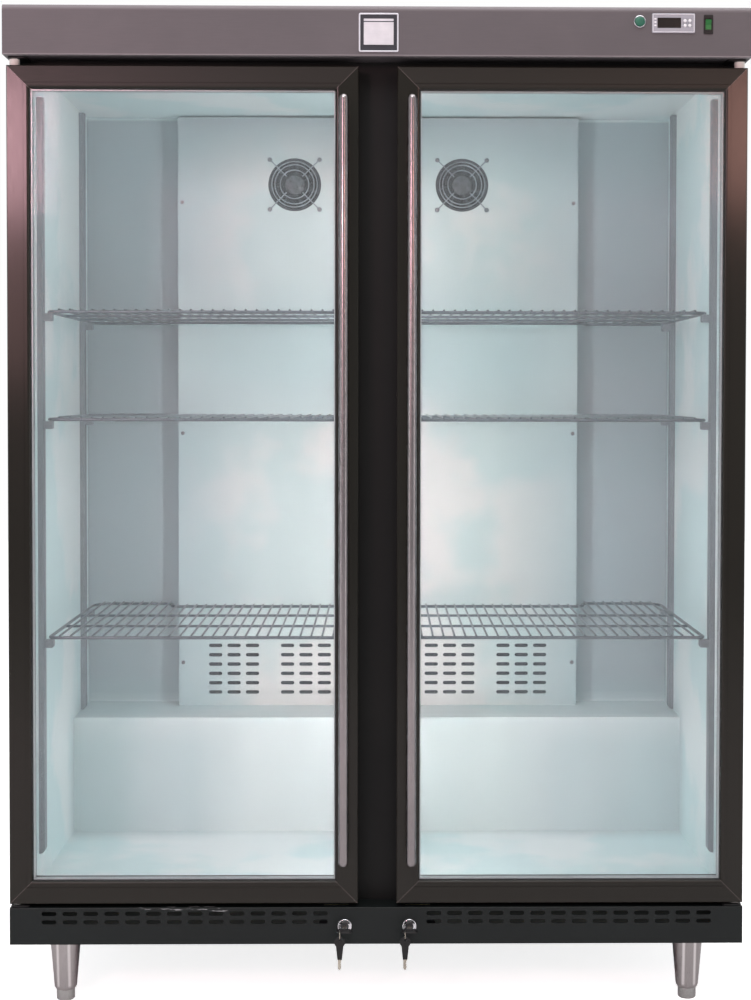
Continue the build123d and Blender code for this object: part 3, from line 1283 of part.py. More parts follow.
discharge = pipe(
    [
        (STUB_X, *DISCHARGE_STUB),
        (-250, *DISCHARGE_STUB),
        (-250, DISCHARGE_STUB[0], PIPE_LEVEL),
        (CONDENSER_MIDDLE, DISCHARGE_STUB[0], PIPE_LEVEL),
        (CONDENSER_MIDDLE, FRONT_HEADER, PIPE_LEVEL),
        (CONDENSER_MIDDLE, FRONT_HEADER, HEADER_TOP),
    ],
    PIPE_RADIUS,
    PIPE_BEND,
)
liquid = pipe(
    [
        (CONDENSER_MIDDLE, REAR_HEADER, HEADER_TOP),
        (CONDENSER_MIDDLE, REAR_HEADER, PIPE_LEVEL + 4),
        (CONDENSER_MIDDLE, PIPE_DEPTH, PIPE_LEVEL + 4),
        (CONDENSER_MIDDLE, PIPE_DEPTH, tube_levels[-1]),
        (-COIL_HALF, PIPE_DEPTH, tube_levels[-1]),
    ],
    PIPE_RADIUS,
    PIPE_BEND,
)
suction = pipe(
    [
        (STUB_X, *SUCTION_STUB),
        (-150, *SUCTION_STUB),
        (-150, PIPE_DEPTH, PIPE_LEVEL - 10),
        (SUCTION_X, PIPE_DEPTH, PIPE_LEVEL - 10),
        (SUCTION_X, PIPE_DEPTH, tube_levels[0]),
        (-COIL_HALF, PIPE_DEPTH, tube_levels[0]),
    ],
    PIPE_RADIUS,
    PIPE_BEND,
)
write_group([discharge, liquid, suction], "refrigerant_pipes")


# Screws: pan heads on the evaporator cover and on the rear cover

HEAD_RADIUS = 4
HEAD_THICK = 2.4
SHANK = 10


def screw(face_point, direction):
    """Pan-head screw whose head stands on a face and whose shank runs against the direction."""
    with BuildPart() as fastener:
        with BuildSketch(Plane(face_point, z_dir=direction)):
            Circle(HEAD_RADIUS)
        extrude(amount=HEAD_THICK)
        with BuildSketch(Plane(face_point, z_dir=direction)):
            Circle(SCREW_RADIUS)
        extrude(amount=-SHANK)
        head_edges = fastener.edges().sort_by(Axis(face_point, direction))
        fillet(head_edges[-1], 1)
    return fastener.part


screws = []
for side in (-1, 1):
    for screw_z in COVER_SCREW_Z:
        screws.append(screw((side * COVER_SCREW_X, y(COVER_FRONT), screw_z), (0, -1, 0)))
for screw_x in REAR_SCREW_X:
    for screw_z in REAR_SCREW_Z:
        screws.append(screw((screw_x, y(REAR_COVER + SHEET), screw_z), (0, 1, 0)))
write_group(screws, "screws")
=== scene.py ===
import math

import bmesh
import bpy
from mathutils import Matrix, Vector


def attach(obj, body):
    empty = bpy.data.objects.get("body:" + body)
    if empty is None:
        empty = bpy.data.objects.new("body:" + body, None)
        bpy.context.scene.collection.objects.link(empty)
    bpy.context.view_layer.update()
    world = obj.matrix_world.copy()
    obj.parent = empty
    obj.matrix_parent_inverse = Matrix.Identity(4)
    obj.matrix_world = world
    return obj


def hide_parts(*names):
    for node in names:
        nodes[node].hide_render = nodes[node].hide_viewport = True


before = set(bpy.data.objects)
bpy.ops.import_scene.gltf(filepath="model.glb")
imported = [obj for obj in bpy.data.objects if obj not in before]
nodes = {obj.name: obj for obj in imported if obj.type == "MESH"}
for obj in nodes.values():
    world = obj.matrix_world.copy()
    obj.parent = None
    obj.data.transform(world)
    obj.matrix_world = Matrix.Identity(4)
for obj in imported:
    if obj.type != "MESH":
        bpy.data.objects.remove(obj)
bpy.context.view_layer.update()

# Sizes below are in millimetres. A depth is a distance behind the front face of the canopy.
FRONT_Y = -312
SIDES = (("left", -1), ("right", 1))
DOOR_X = (34, 646)
DOOR_Z = (184, 1652)


def place(x, depth, z):
    """Point of the scene, in metres, from X, depth and height in millimetres."""
    return Vector((x, FRONT_Y + depth, z)) / 1000


# Shapes

def between(limits, share):
    """Value at a share of the way from the first limit to the second."""
    return limits[0] + (limits[1] - limits[0]) * share


def join_rings(bm, ring_a, ring_b):
    """Quads between two closed rings with the same number of vertices."""
    count = len(ring_a)
    for index in range(count):
        after = (index + 1) % count
        bm.faces.new((ring_a[index], ring_a[after], ring_b[after], ring_b[index]))


def skin_rings(bm, rings, closed=False):
    """Closed surface over a row of rings, capped at both ends unless it closes on itself."""
    made = [[bm.verts.new(corner) for corner in ring] for ring in rings]
    for lower, upper in zip(made, made[1:]):
        join_rings(bm, lower, upper)
    if closed:
        join_rings(bm, made[-1], made[0])
    else:
        bm.faces.new(made[0])
        bm.faces.new(made[-1])


def add_outline(bm, outline, depth):
    """Solid between two depths whose outline is given as (X, Z) corners."""
    skin_rings(bm, [[place(x, level, z) for x, z in outline] for level in depth])


def add_rim(bm, section):
    """Closed band whose section is a row of (outline, depth) pairs, each outline of (X, Z) corners."""
    skin_rings(bm, [[place(x, depth, z) for x, z in outline] for outline, depth in section], closed=True)


def rounded_rectangle(x, z, radius, steps=6):
    """Corners of an upright rectangle with rounded corners."""
    outline = []
    centres = (
        (x[1] - radius, z[1] - radius, 0),
        (x[0] + radius, z[1] - radius, 90),
        (x[0] + radius, z[0] + radius, 180),
        (x[1] - radius, z[0] + radius, 270),
    )
    for centre_x, centre_z, first in centres:
        for step in range(steps + 1):
            angle = math.radians(first + 90 * step / steps)
            outline.append((centre_x + radius * math.cos(angle), centre_z + radius * math.sin(angle)))
    return outline


# Each axis that things turn about, and the two directions across it
AXES = {
    "depth": (Vector((0, 1, 0)), Vector((0, 0, 1)), Vector((1, 0, 0))),
    "z": (Vector((0, 0, 1)), Vector((1, 0, 0)), Vector((0, 1, 0))),
}
# Radius that stands for a point on the axis, so that each ring keeps its corners
POINT = 0.01


def add_lathe(bm, profile, centre, axis, segments=48, closed=False):
    """Turns a profile of (radius, distance along the axis) about an axis through the centre."""
    along, first, second = AXES[axis]
    origin = place(*centre)
    rings = []
    for radius, distance in profile:
        base = origin + along * distance / 1000
        ring = []
        for step in range(segments):
            angle = 2 * math.pi * step / segments
            offset = first * math.cos(angle) + second * math.sin(angle)
            ring.append(base + offset * max(radius, POINT) / 1000)
        rings.append(ring)
    skin_rings(bm, rings, closed)


def dome(radius, end, direction, steps=8):
    """Profile of a rounded end: quarter circle from the full radius to the axis."""
    profile = []
    for step in range(steps + 1):
        angle = math.radians(90 * step / steps)
        profile.append((radius * math.cos(angle), end + direction * radius * math.sin(angle)))
    return profile


def bent_path(corners, radii, steps=8):
    """Closed path of (X, depth, Z) points, with an arc of its own radius at each corner."""
    path = []
    for index, (corner, radius) in enumerate(zip(corners, radii)):
        corner = Vector(corner)
        before = (Vector(corners[index - 1]) - corner).normalized()
        after = (Vector(corners[(index + 1) % len(corners)]) - corner).normalized()
        half = before.angle(after) / 2
        centre = corner + (before + after).normalized() * radius / math.sin(half)
        reach = radius / math.tan(half)
        start = corner + before * reach - centre
        end = corner + after * reach - centre
        swing = start.angle(end)
        for step in range(steps + 1):
            angle = swing * step / steps
            share = Vector((math.sin(swing - angle), math.sin(angle))) / math.sin(swing)
            path.append(centre + start * share.x + end * share.y)
    return path


# Rings that round off a wire's end: shift along the wire and size, as shares of its radius
WIRE_END = [(math.cos(math.radians(a)), math.sin(math.radians(a))) for a in (8, 30, 60)]
NEARLY_UPRIGHT = 0.9


def add_wire(bm, path, radius, closed=False, segments=10):
    """Round wire along a path of (X, depth, Z) points, its open ends domed."""
    points = [place(*spot) for spot in path]
    count = len(points)
    tangents = []
    for index in range(count):
        before = points[index - 1] if closed or index > 0 else points[index]
        after = points[(index + 1) % count] if closed or index < count - 1 else points[index]
        tangents.append((after - before).normalized())
    guide = Vector((0, 0, 1)) if abs(tangents[0].z) < NEARLY_UPRIGHT else Vector((1, 0, 0))
    across = tangents[0].cross(guide).normalized()
    size = radius / 1000
    rings = []
    for index, (spot, tangent) in enumerate(zip(points, tangents)):
        across = (across - tangent * across.dot(tangent)).normalized()
        up = tangent.cross(across)
        ends = [(0.0, 1.0)]
        if not closed and index == 0:
            ends = [(-shift, scale) for shift, scale in WIRE_END] + ends
        if not closed and index == count - 1:
            ends = ends + WIRE_END[::-1]
        for shift, scale in ends:
            ring = []
            for step in range(segments):
                angle = 2 * math.pi * step / segments
                offset = (across * math.cos(angle) + up * math.sin(angle)) * scale
                ring.append(spot + (offset + tangent * shift) * size)
            rings.append(ring)
    skin_rings(bm, rings, closed)


# Edges that turn more than this stay sharp, and are the ones that a bevel rounds
SHARP_ANGLE = math.radians(40)


def add_piece(name, body, material, build, replaces=(), bevel=0.0):
    """Mesh made by build(bm), with its finish, riding on a body."""
    mesh = bpy.data.meshes.new(name)
    bm = bmesh.new()
    build(bm)
    bmesh.ops.recalc_face_normals(bm, faces=bm.faces)
    bm.to_mesh(mesh)
    bm.free()
    mesh.shade_smooth()
    mesh.set_sharp_from_angle(angle=SHARP_ANGLE)
    mesh.materials.append(material)
    piece = bpy.data.objects.new(name, mesh)
    bpy.context.scene.collection.objects.link(piece)
    if bevel > 0:
        rounding = piece.modifiers.new("rounded edges", "BEVEL")
        rounding.width = bevel / 1000
        rounding.segments = 2
        rounding.limit_method = "ANGLE"
        rounding.angle_limit = SHARP_ANGLE
        rounding.harden_normals = True
    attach(piece, body)
    if replaces:
        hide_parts(*replaces)
    return piece


# Finishes

def rgb(red, green, blue):
    """Linear colour from the values 0 to 255 of a screen colour."""
    linear = []
    for value in (red, green, blue):
        share = value / 255
        linear.append(share / 12.92 if share <= 0.04045 else ((share + 0.055) / 1.055) ** 2.4)
    return (*linear, 1.0)


def add_node(tree, kind, inputs=None, **settings):
    """Shader node with its settings, its inputs given as values or as sockets to link."""
    made = tree.nodes.new(kind)
    for key, value in settings.items():
        setattr(made, key, value)
    for key, value in (inputs or {}).items():
        if isinstance(value, bpy.types.NodeSocket):
            tree.links.new(value, made.inputs[key])
        else:
            made.inputs[key].default_value = value
    return made


def new_material(name):
    """Empty node material and its shader, linked to the output."""
    material = bpy.data.materials.new(name)
    material.use_nodes = True
    tree = material.node_tree
    tree.nodes.clear()
    shader = add_node(tree, "ShaderNodeBsdfPrincipled")
    add_node(tree, "ShaderNodeOutputMaterial", {"Surface": shader.outputs[0]})
    return material, tree, shader


def noise(tree, scale, stretch=(1, 1, 1), detail=4.0):
    """Noise over the object's own coordinates, finer along an axis with a larger stretch."""
    spot = add_node(tree, "ShaderNodeTexCoord")
    mapped = add_node(tree, "ShaderNodeMapping", {"Vector": spot.outputs["Object"], "Scale": stretch})
    inputs = {"Vector": mapped.outputs[0], "Scale": scale, "Detail": detail, "Roughness": 0.55}
    return add_node(tree, "ShaderNodeTexNoise", inputs).outputs[0]


def span(tree, value, low, high, source=(0.3, 0.7)):
    """Value carried from its source range to a range from low to high."""
    inputs = {"Value": value, "From Min": source[0], "From Max": source[1], "To Min": low, "To Max": high}
    return add_node(tree, "ShaderNodeMapRange", inputs).outputs[0]


def calc(tree, operation, *values, clamp=False):
    """Result of one sum on numbers or sockets."""
    inputs = dict(enumerate(values))
    return add_node(tree, "ShaderNodeMath", inputs, operation=operation, use_clamp=clamp).outputs[0]


def blend_colours(tree, factor, first, second):
    """Colour between two colours, each a value or a socket."""
    made = add_node(tree, "ShaderNodeMix", data_type="RGBA")
    for socket, value in ((made.inputs[0], factor), (made.inputs[6], first), (made.inputs[7], second)):
        if isinstance(value, bpy.types.NodeSocket):
            tree.links.new(value, socket)
        else:
            socket.default_value = value
    return made.outputs[2]


def surface(name, colour, second, roughness=(0.35, 0.5), metallic=0.0, cloud=5.0, patches=(0.3, 0.7),
            grain=350.0, stretch=(1, 1, 1), bump=0.08, specular=0.5):
    """Finish whose colour drifts between two tones, with grain in its gloss and relief."""
    material, tree, shader = new_material(name)
    drift = span(tree, noise(tree, cloud), 0.0, 1.0, patches)
    fine = noise(tree, grain, stretch, detail=3.0)
    speck = span(tree, fine, 0.0, 0.35)
    tone = calc(tree, "ADD", drift, speck, clamp=True)
    tree.links.new(blend_colours(tree, tone, colour, second), shader.inputs["Base Color"])
    tree.links.new(span(tree, fine, *roughness), shader.inputs["Roughness"])
    relief = add_node(tree, "ShaderNodeBump", {"Strength": bump, "Distance": 0.0004, "Height": fine})
    tree.links.new(relief.outputs[0], shader.inputs["Normal"])
    shader.inputs["Metallic"].default_value = metallic
    shader.inputs["Specular IOR Level"].default_value = specular
    return material


ALONG_X = (0.03, 1, 1)
ALONG_Z = (1, 1, 0.03)
DARK_PAINT = rgb(18, 24, 24)

canopy_paint = surface(
    "canopy_paint", rgb(89, 84, 87), rgb(82, 78, 81), (0.42, 0.55), stretch=ALONG_X, grain=900,
    bump=0.05, specular=0.3,
)
base_paint = surface("base_paint", DARK_PAINT, rgb(14, 19, 19), (0.35, 0.5), grain=700, specular=0.25)
mullion_paint = surface(
    "mullion_paint", rgb(26, 27, 26), rgb(21, 22, 22), (0.4, 0.55), grain=600, specular=0.15,
)
body_paint = surface(
    "body_paint", rgb(44, 46, 47), rgb(38, 40, 41), (0.35, 0.48), grain=800, specular=0.3,
)
lining = surface(
    "lining_white", rgb(234, 240, 240), rgb(209, 231, 232), (0.35, 0.5), cloud=3.5, patches=(0.45, 0.55),
    grain=500, bump=0.03,
)
cover = surface(
    "cover_white", rgb(224, 221, 218), rgb(196, 213, 212), (0.4, 0.5), cloud=3.0, patches=(0.45, 0.55),
    grain=500, bump=0.03, specular=0.8,
)
zinc_sheet = surface(
    "zinc_sheet", rgb(168, 172, 174), rgb(148, 153, 156), (0.35, 0.55), metallic=0.7, cloud=14, grain=60,
    bump=0.02,
)
tray_sheet = surface(
    "tray_sheet", rgb(160, 164, 166), rgb(140, 145, 148), (0.4, 0.6), metallic=0.3, cloud=14, grain=300,
    bump=0.03,
)
foam = surface("foam", rgb(214, 198, 150), rgb(196, 176, 122), (0.8, 0.95), cloud=30, grain=500, bump=0.5)
shelf_coating = surface(
    "shelf_coating", rgb(98, 105, 112), rgb(83, 89, 96), (0.25, 0.4), metallic=0.4, cloud=20, grain=400,
)
upright_steel = surface(
    "upright_steel", rgb(150, 154, 160), rgb(128, 132, 138), (0.35, 0.5), metallic=0.6, stretch=ALONG_Z,
    grain=900,
)
handle_metal = surface(
    "handle_metal", rgb(148, 142, 143), rgb(130, 125, 126), (0.2, 0.3), metallic=1.0, stretch=ALONG_Z,
    grain=1200, bump=0.04,
)
leg_steel = surface(
    "leg_steel", rgb(168, 163, 163), rgb(147, 142, 142), (0.16, 0.28), metallic=1.0, stretch=ALONG_Z,
    grain=900,
)
foot_steel = surface(
    "foot_steel", rgb(178, 178, 176), rgb(150, 150, 149), (0.3, 0.45), metallic=0.9, grain=500,
)
rubber = surface(
    "gasket_rubber", rgb(30, 31, 32), rgb(22, 23, 24), (0.55, 0.75), grain=900, specular=0.25,
)
seal = surface("glazing_seal", rgb(14, 14, 15), rgb(9, 9, 10), (0.5, 0.7), grain=900, specular=0.2)
spacer_metal = surface(
    "spacer_metal", rgb(196, 200, 202), rgb(174, 178, 181), (0.3, 0.45), metallic=0.6, grain=700,
)
case_black = surface("case_black", rgb(20, 20, 21), rgb(15, 15, 16), (0.35, 0.5), grain=900, specular=0.3)
display_black = surface(
    "display_black", rgb(20, 20, 20), rgb(14, 14, 14), (0.12, 0.22), grain=900, bump=0.02, specular=0.35,
)
badge_black = surface("badge_black", rgb(40, 42, 50), rgb(30, 32, 39), (0.3, 0.45), cloud=60, grain=900)
badge_silver = surface(
    "badge_silver", rgb(200, 200, 204), rgb(186, 187, 192), (0.4, 0.5), metallic=0.3, cloud=45,
    stretch=ALONG_X, grain=900,
)
case_silver = surface(
    "case_silver", rgb(158, 160, 168), rgb(143, 145, 153), (0.35, 0.5), metallic=0.2, grain=900,
)
case_edge = surface(
    "case_edge", rgb(214, 216, 222), rgb(196, 198, 205), (0.25, 0.4), metallic=0.2, grain=900,
)
key_silver = surface("key_silver", rgb(232, 233, 236), rgb(214, 215, 219), (0.25, 0.4), grain=900)
nylon = surface("nylon_white", rgb(245, 243, 238), rgb(232, 229, 222), (0.4, 0.55), grain=600)
chrome = surface(
    "lock_chrome", rgb(214, 214, 216), rgb(188, 188, 192), (0.08, 0.2), metallic=1.0, grain=600,
)
plug_steel = surface(
    "plug_steel", rgb(92, 94, 97), rgb(66, 68, 71), (0.3, 0.45), metallic=1.0, grain=600,
)
key_steel = surface(
    "key_steel", rgb(190, 184, 172), rgb(160, 154, 143), (0.2, 0.35), metallic=1.0, grain=500,
)
key_plastic = surface(
    "key_plastic", rgb(22, 22, 23), rgb(15, 15, 16), (0.35, 0.55), grain=700, specular=0.35,
)
hardware_black = surface(
    "hardware_black", rgb(24, 24, 25), rgb(16, 16, 17), (0.4, 0.6), grain=600, specular=0.3,
)
fan_plastic = surface(
    "fan_plastic", rgb(66, 68, 74), rgb(56, 58, 63), (0.4, 0.55), grain=600, specular=0.2,
)
blade_plastic = surface(
    "blade_plastic", rgb(30, 31, 36), rgb(22, 23, 27), (0.6, 0.75), grain=600, specular=0.08,
)
fan_label = surface("fan_label", rgb(92, 95, 100), rgb(44, 46, 51), (0.35, 0.5), cloud=150, grain=900)
guard_wire = surface(
    "guard_wire", rgb(158, 163, 169), rgb(136, 141, 148), (0.35, 0.5), metallic=0.8, grain=500,
)
fin_aluminium = surface(
    "fin_aluminium", rgb(196, 198, 198), rgb(170, 172, 173), (0.3, 0.45), metallic=0.9, cloud=12,
    grain=500,
)
copper = surface(
    "pipe_copper", rgb(196, 126, 88), rgb(150, 88, 58), (0.25, 0.45), metallic=1.0, cloud=25, grain=300,
)
compressor_black = surface(
    "compressor_black", rgb(24, 24, 26), rgb(17, 17, 18), (0.3, 0.45), cloud=18, grain=260, bump=0.25,
)
screw_steel = surface(
    "screw_steel", rgb(160, 160, 162), rgb(120, 120, 123), (0.3, 0.45), metallic=1.0, grain=500,
)


def tint_zone(material, low, high, colour, edge=0.002, mask=None, both_sides=True):
    """Second tone over a box of the material, from X, depth and height limits in millimetres. It paints
    scratches and skirts, and also painted shade and painted highlights.
    """
    tree = material.node_tree
    shader = next(made for made in tree.nodes if made.type == "BSDF_PRINCIPLED")
    spot = add_node(tree, "ShaderNodeTexCoord")
    parts = add_node(tree, "ShaderNodeSeparateXYZ", {0: spot.outputs["Object"]})
    across = calc(tree, "ABSOLUTE", parts.outputs["X"]) if both_sides else parts.outputs["X"]
    values = (across, parts.outputs["Y"], parts.outputs["Z"])
    first, last = place(*low), place(*high)
    share = mask(tree) if mask else 1.0
    for value, start, end in zip(values, first, last):
        rise = span(tree, value, 0.0, 1.0, (start - edge, start + edge))
        fall = span(tree, value, 1.0, 0.0, (end - edge, end + edge))
        share = calc(tree, "MULTIPLY", calc(tree, "MULTIPLY", share, rise), fall)
    plain = shader.inputs["Base Color"].links[0].from_socket
    tree.links.new(blend_colours(tree, share, plain, colour), shader.inputs["Base Color"])


# Limits of the zones, most of them painted shade and painted highlights. FAR stands for no limit, and
# MIDDLE lies below any distance from the middle.
FAR = 3000
MIDDLE = -1
BACK_WALL = 600
RECESS_SHADE_X = 400
RECESS_SHADE_TOP = 1658
BEHIND_COVER_SHADE_X = 412
BEHIND_COVER_SHADE_TOP = 1652
STEP_FRONT = 420
STEP_TOP = 432
STEP_SHADE_X = 310
COVER_SHADE_X = 330
COVER_SHADE_BAND_Z = (1060, 1285)
COVER_TOP_SHADE_Z = 1575
CANOPY_FACE = (-5, 12)
BEND_HIGHLIGHT_Z = 1747
HEM_HIGHLIGHT_Z = (1665, 1669.5)
GRILLE_FACE = (-5, 20)
SCRATCH_X = (-420, -262)
SCRATCH_BOTTOM = 170
SKIRT_X = 643.5
SKIRT_FRONT = -10
LEG_HIGHLIGHTS_X = (547, 567)
HIGHLIGHT_HALF = 1.2
HIGHLIGHT_DEPTH = (20, 58)
HIGHLIGHT_Z = (26, 112)


def scratches(tree):
    """Thin level marks where the noise is at its highest."""
    marks = noise(tree, 210.0, (0.25, 1, 1.6), detail=5.0)
    return span(tree, marks, 0.0, 0.9, (0.57, 0.63))


# Painted shade on the lining: on the back wall beside the cover, dark behind the cover, over the step, and
# deeper towards the ends of the step
# Painted shade: the back wall beside the cover is darker
tint_zone(
    lining, (RECESS_SHADE_X, BACK_WALL, STEP_TOP), (FAR, FAR, RECESS_SHADE_TOP), rgb(158, 171, 175), edge=0.004,
)
# Painted shade: dark colour behind the cover, where there is only shade
tint_zone(lining, (MIDDLE, BACK_WALL, STEP_TOP), (BEHIND_COVER_SHADE_X, FAR, BEHIND_COVER_SHADE_TOP), rgb(58, 64, 72))
# Painted shade over the step
tint_zone(lining, (-FAR, STEP_FRONT, 0), (FAR, FAR, STEP_TOP), rgb(212, 222, 221), edge=0.02)
# Deeper painted shade towards the ends of the step
tint_zone(lining, (STEP_SHADE_X, STEP_FRONT, 0), (FAR, FAR, STEP_TOP), rgb(176, 196, 199), edge=0.06)
# Painted shade on the cover: darker at its sides, in a band across it, and at its top under the ceiling
tint_zone(cover, (COVER_SHADE_X, 0, 0), (FAR, FAR, FAR), rgb(168, 190, 193), edge=0.09)
tint_zone(cover, (-FAR, 0, COVER_SHADE_BAND_Z[0]), (FAR, FAR, COVER_SHADE_BAND_Z[1]), rgb(186, 208, 209), edge=0.06)
tint_zone(cover, (-FAR, 0, COVER_TOP_SHADE_Z), (FAR, FAR, FAR), rgb(158, 168, 171), edge=0.075)
# Painted highlights on the upper bend and the lower hem of the canopy
tint_zone(
    canopy_paint, (MIDDLE, CANOPY_FACE[0], BEND_HIGHLIGHT_Z), (FAR, CANOPY_FACE[1], FAR), rgb(108, 103, 106),
    edge=0.003,
)
tint_zone(
    canopy_paint, (MIDDLE, CANOPY_FACE[0], HEM_HIGHLIGHT_Z[0]), (FAR, CANOPY_FACE[1], HEM_HIGHLIGHT_Z[1]),
    rgb(124, 118, 121), edge=0.001,
)
# Scratches on the left of the base panel, painted skirts of the tray, and painted highlight streaks on the
# legs
tint_zone(
    base_paint, (SCRATCH_X[0], GRILLE_FACE[0], SCRATCH_BOTTOM), (SCRATCH_X[1], GRILLE_FACE[1], FAR),
    rgb(138, 141, 143), edge=0.001, both_sides=False, mask=scratches,
)
tint_zone(tray_sheet, (SKIRT_X, SKIRT_FRONT, 0), (FAR, FAR, FAR), DARK_PAINT, edge=0.0005)
# Painted highlights: two bright vertical streaks on the front of each leg
for highlight_x in LEG_HIGHLIGHTS_X:
    tint_zone(
        leg_steel, (highlight_x - HIGHLIGHT_HALF, HIGHLIGHT_DEPTH[0], HIGHLIGHT_Z[0]),
        (highlight_x + HIGHLIGHT_HALF, HIGHLIGHT_DEPTH[1], HIGHLIGHT_Z[1]), rgb(240, 236, 236), edge=0.0022,
    )


def window_glass():
    """Clear pane: almost invisible face on, with more of its own reflection at a slant."""
    material, tree, shader = new_material("pane_glass")
    facing = add_node(tree, "ShaderNodeLayerWeight", {"Blend": 0.35}).outputs["Facing"]
    smear = noise(tree, 9.0, (1, 1, 0.4))
    veil = calc(tree, "ADD", span(tree, facing, 0.03, 0.5, (0.1, 1.0)), span(tree, smear, 0.0, 0.015))
    tree.links.new(veil, shader.inputs["Alpha"])
    tint = blend_colours(tree, span(tree, smear, 0.0, 1.0), rgb(214, 230, 232), rgb(198, 220, 224))
    tree.links.new(tint, shader.inputs["Base Color"])
    tree.links.new(span(tree, noise(tree, 60.0), 0.02, 0.07), shader.inputs["Roughness"])
    relief = add_node(tree, "ShaderNodeBump", {"Strength": 0.02, "Distance": 0.0005, "Height": smear})
    tree.links.new(relief.outputs[0], shader.inputs["Normal"])
    material.surface_render_method = "BLENDED"
    return material


def glowing(name, colour, second, glow, strength):
    """Surface that gives light of its own, a little uneven over its length."""
    material, tree, shader = new_material(name)
    drift = span(tree, noise(tree, 30.0), 0.0, 1.0)
    tree.links.new(blend_colours(tree, drift, colour, second), shader.inputs["Base Color"])
    fine = noise(tree, 500.0)
    tree.links.new(span(tree, fine, 0.3, 0.45), shader.inputs["Roughness"])
    relief = add_node(tree, "ShaderNodeBump", {"Strength": 0.03, "Distance": 0.0004, "Height": fine})
    tree.links.new(relief.outputs[0], shader.inputs["Normal"])
    shader.inputs["Emission Color"].default_value = glow
    shader.inputs["Emission Strength"].default_value = strength
    return material


pane_glass = window_glass()
tube_light = glowing("tube_white", rgb(245, 248, 250), rgb(235, 240, 244), rgb(250, 251, 252), 50.0)
pilot_green = glowing("pilot_green", rgb(16, 84, 66), rgb(11, 66, 52), rgb(24, 130, 98), 0.06)
rocker_green = glowing("rocker_green", rgb(18, 96, 40), rgb(13, 78, 32), rgb(24, 130, 48), 0.08)


UPRIGHT_ROUGHNESS = (0.13, 0.2)
LEVEL_ROUGHNESS = (0.34, 0.44)
MITRE_HIGHLIGHT_EDGE = (0.0002, 0.0007)


def door_paint_material():
    """Bronze paint brushed along each bar, with a fine painted highlight along each mitre."""
    material, tree, shader = new_material("door_paint")
    spot = add_node(tree, "ShaderNodeTexCoord")
    parts = add_node(tree, "ShaderNodeSeparateXYZ", {0: spot.outputs["Object"]})
    middle_x, half_x = sum(DOOR_X) / 2000, (DOOR_X[1] - DOOR_X[0]) / 2000
    middle_z, half_z = sum(DOOR_Z) / 2000, (DOOR_Z[1] - DOOR_Z[0]) / 2000
    across = calc(tree, "SUBTRACT", calc(tree, "ABSOLUTE", parts.outputs["X"]), middle_x)
    to_side = calc(tree, "SUBTRACT", half_x, calc(tree, "ABSOLUTE", across))
    along = calc(tree, "SUBTRACT", parts.outputs["Z"], middle_z)
    to_end = calc(tree, "SUBTRACT", half_z, calc(tree, "ABSOLUTE", along))
    level_bar = calc(tree, "GREATER_THAN", to_side, to_end)
    upright_grain = noise(tree, 1100, ALONG_Z, detail=3.0)
    level_grain = noise(tree, 1100, ALONG_X, detail=3.0)
    grain = add_node(tree, "ShaderNodeMix", {0: level_bar, 2: upright_grain, 3: level_grain}).outputs[0]
    drift = span(tree, noise(tree, 2.5), 0.0, 1.0)
    paint = blend_colours(tree, calc(tree, "MULTIPLY", drift, grain), rgb(28, 26, 21), rgb(22, 20, 16))
    # Painted highlight: a fine bright line along each mitre
    off_mitre = calc(tree, "ABSOLUTE", calc(tree, "SUBTRACT", to_side, to_end))
    mitre_highlight = span(tree, off_mitre, 0.75, 0.0, MITRE_HIGHLIGHT_EDGE)
    colour = blend_colours(tree, mitre_highlight, paint, rgb(104, 94, 92))
    tree.links.new(colour, shader.inputs["Base Color"])
    upright_gloss = span(tree, grain, *UPRIGHT_ROUGHNESS)
    level_gloss = span(tree, grain, *LEVEL_ROUGHNESS)
    gloss = add_node(tree, "ShaderNodeMix", {0: level_bar, 2: upright_gloss, 3: level_gloss})
    tree.links.new(gloss.outputs[0], shader.inputs["Roughness"])
    relief = add_node(tree, "ShaderNodeBump", {"Strength": 0.02, "Distance": 0.0003, "Height": grain})
    tree.links.new(relief.outputs[0], shader.inputs["Normal"])
    shader.inputs["Specular IOR Level"].default_value = 0.26
    return material


door_paint = door_paint_material()

# Doors

SEAL = (33, 40.8)
SPACER = (40.8, 42.6)
PANE_FACES = (21.2, 32.8)


def mirror_x(side, low, high):
    """X limits of a thing on one side of the middle, given as on the right."""
    return tuple(sorted((side * low, side * high)))


def add_door_ring(bm, side, inset, depth):
    """Rectangular ring round a door, between two distances from the door's outer edges."""
    rings = []
    for distance in inset:
        low_x, high_x = mirror_x(side, DOOR_X[0] + distance, DOOR_X[1] - distance)
        low_z, high_z = DOOR_Z[0] + distance, DOOR_Z[1] - distance
        rings.append([(low_x, low_z), (high_x, low_z), (high_x, high_z), (low_x, high_z)])
    outer, inner = rings
    for corner in range(4):
        after = (corner + 1) % 4
        add_outline(bm, [outer[corner], outer[after], inner[after], inner[corner]], depth)


HANDLE_X = 59
HANDLE_RADIUS = 8.5
HANDLE_DEPTH = -29.5
HANDLE_Z = (260, 1597)
POST_Z = (322, 1535)
POST_RADIUS = 5
POST_OVERLAP = 3
COLLAR_RADIUS = 8
COLLAR = 2
COLLAR_CHAMFER = 0.4
DOOR_FRONT = 12


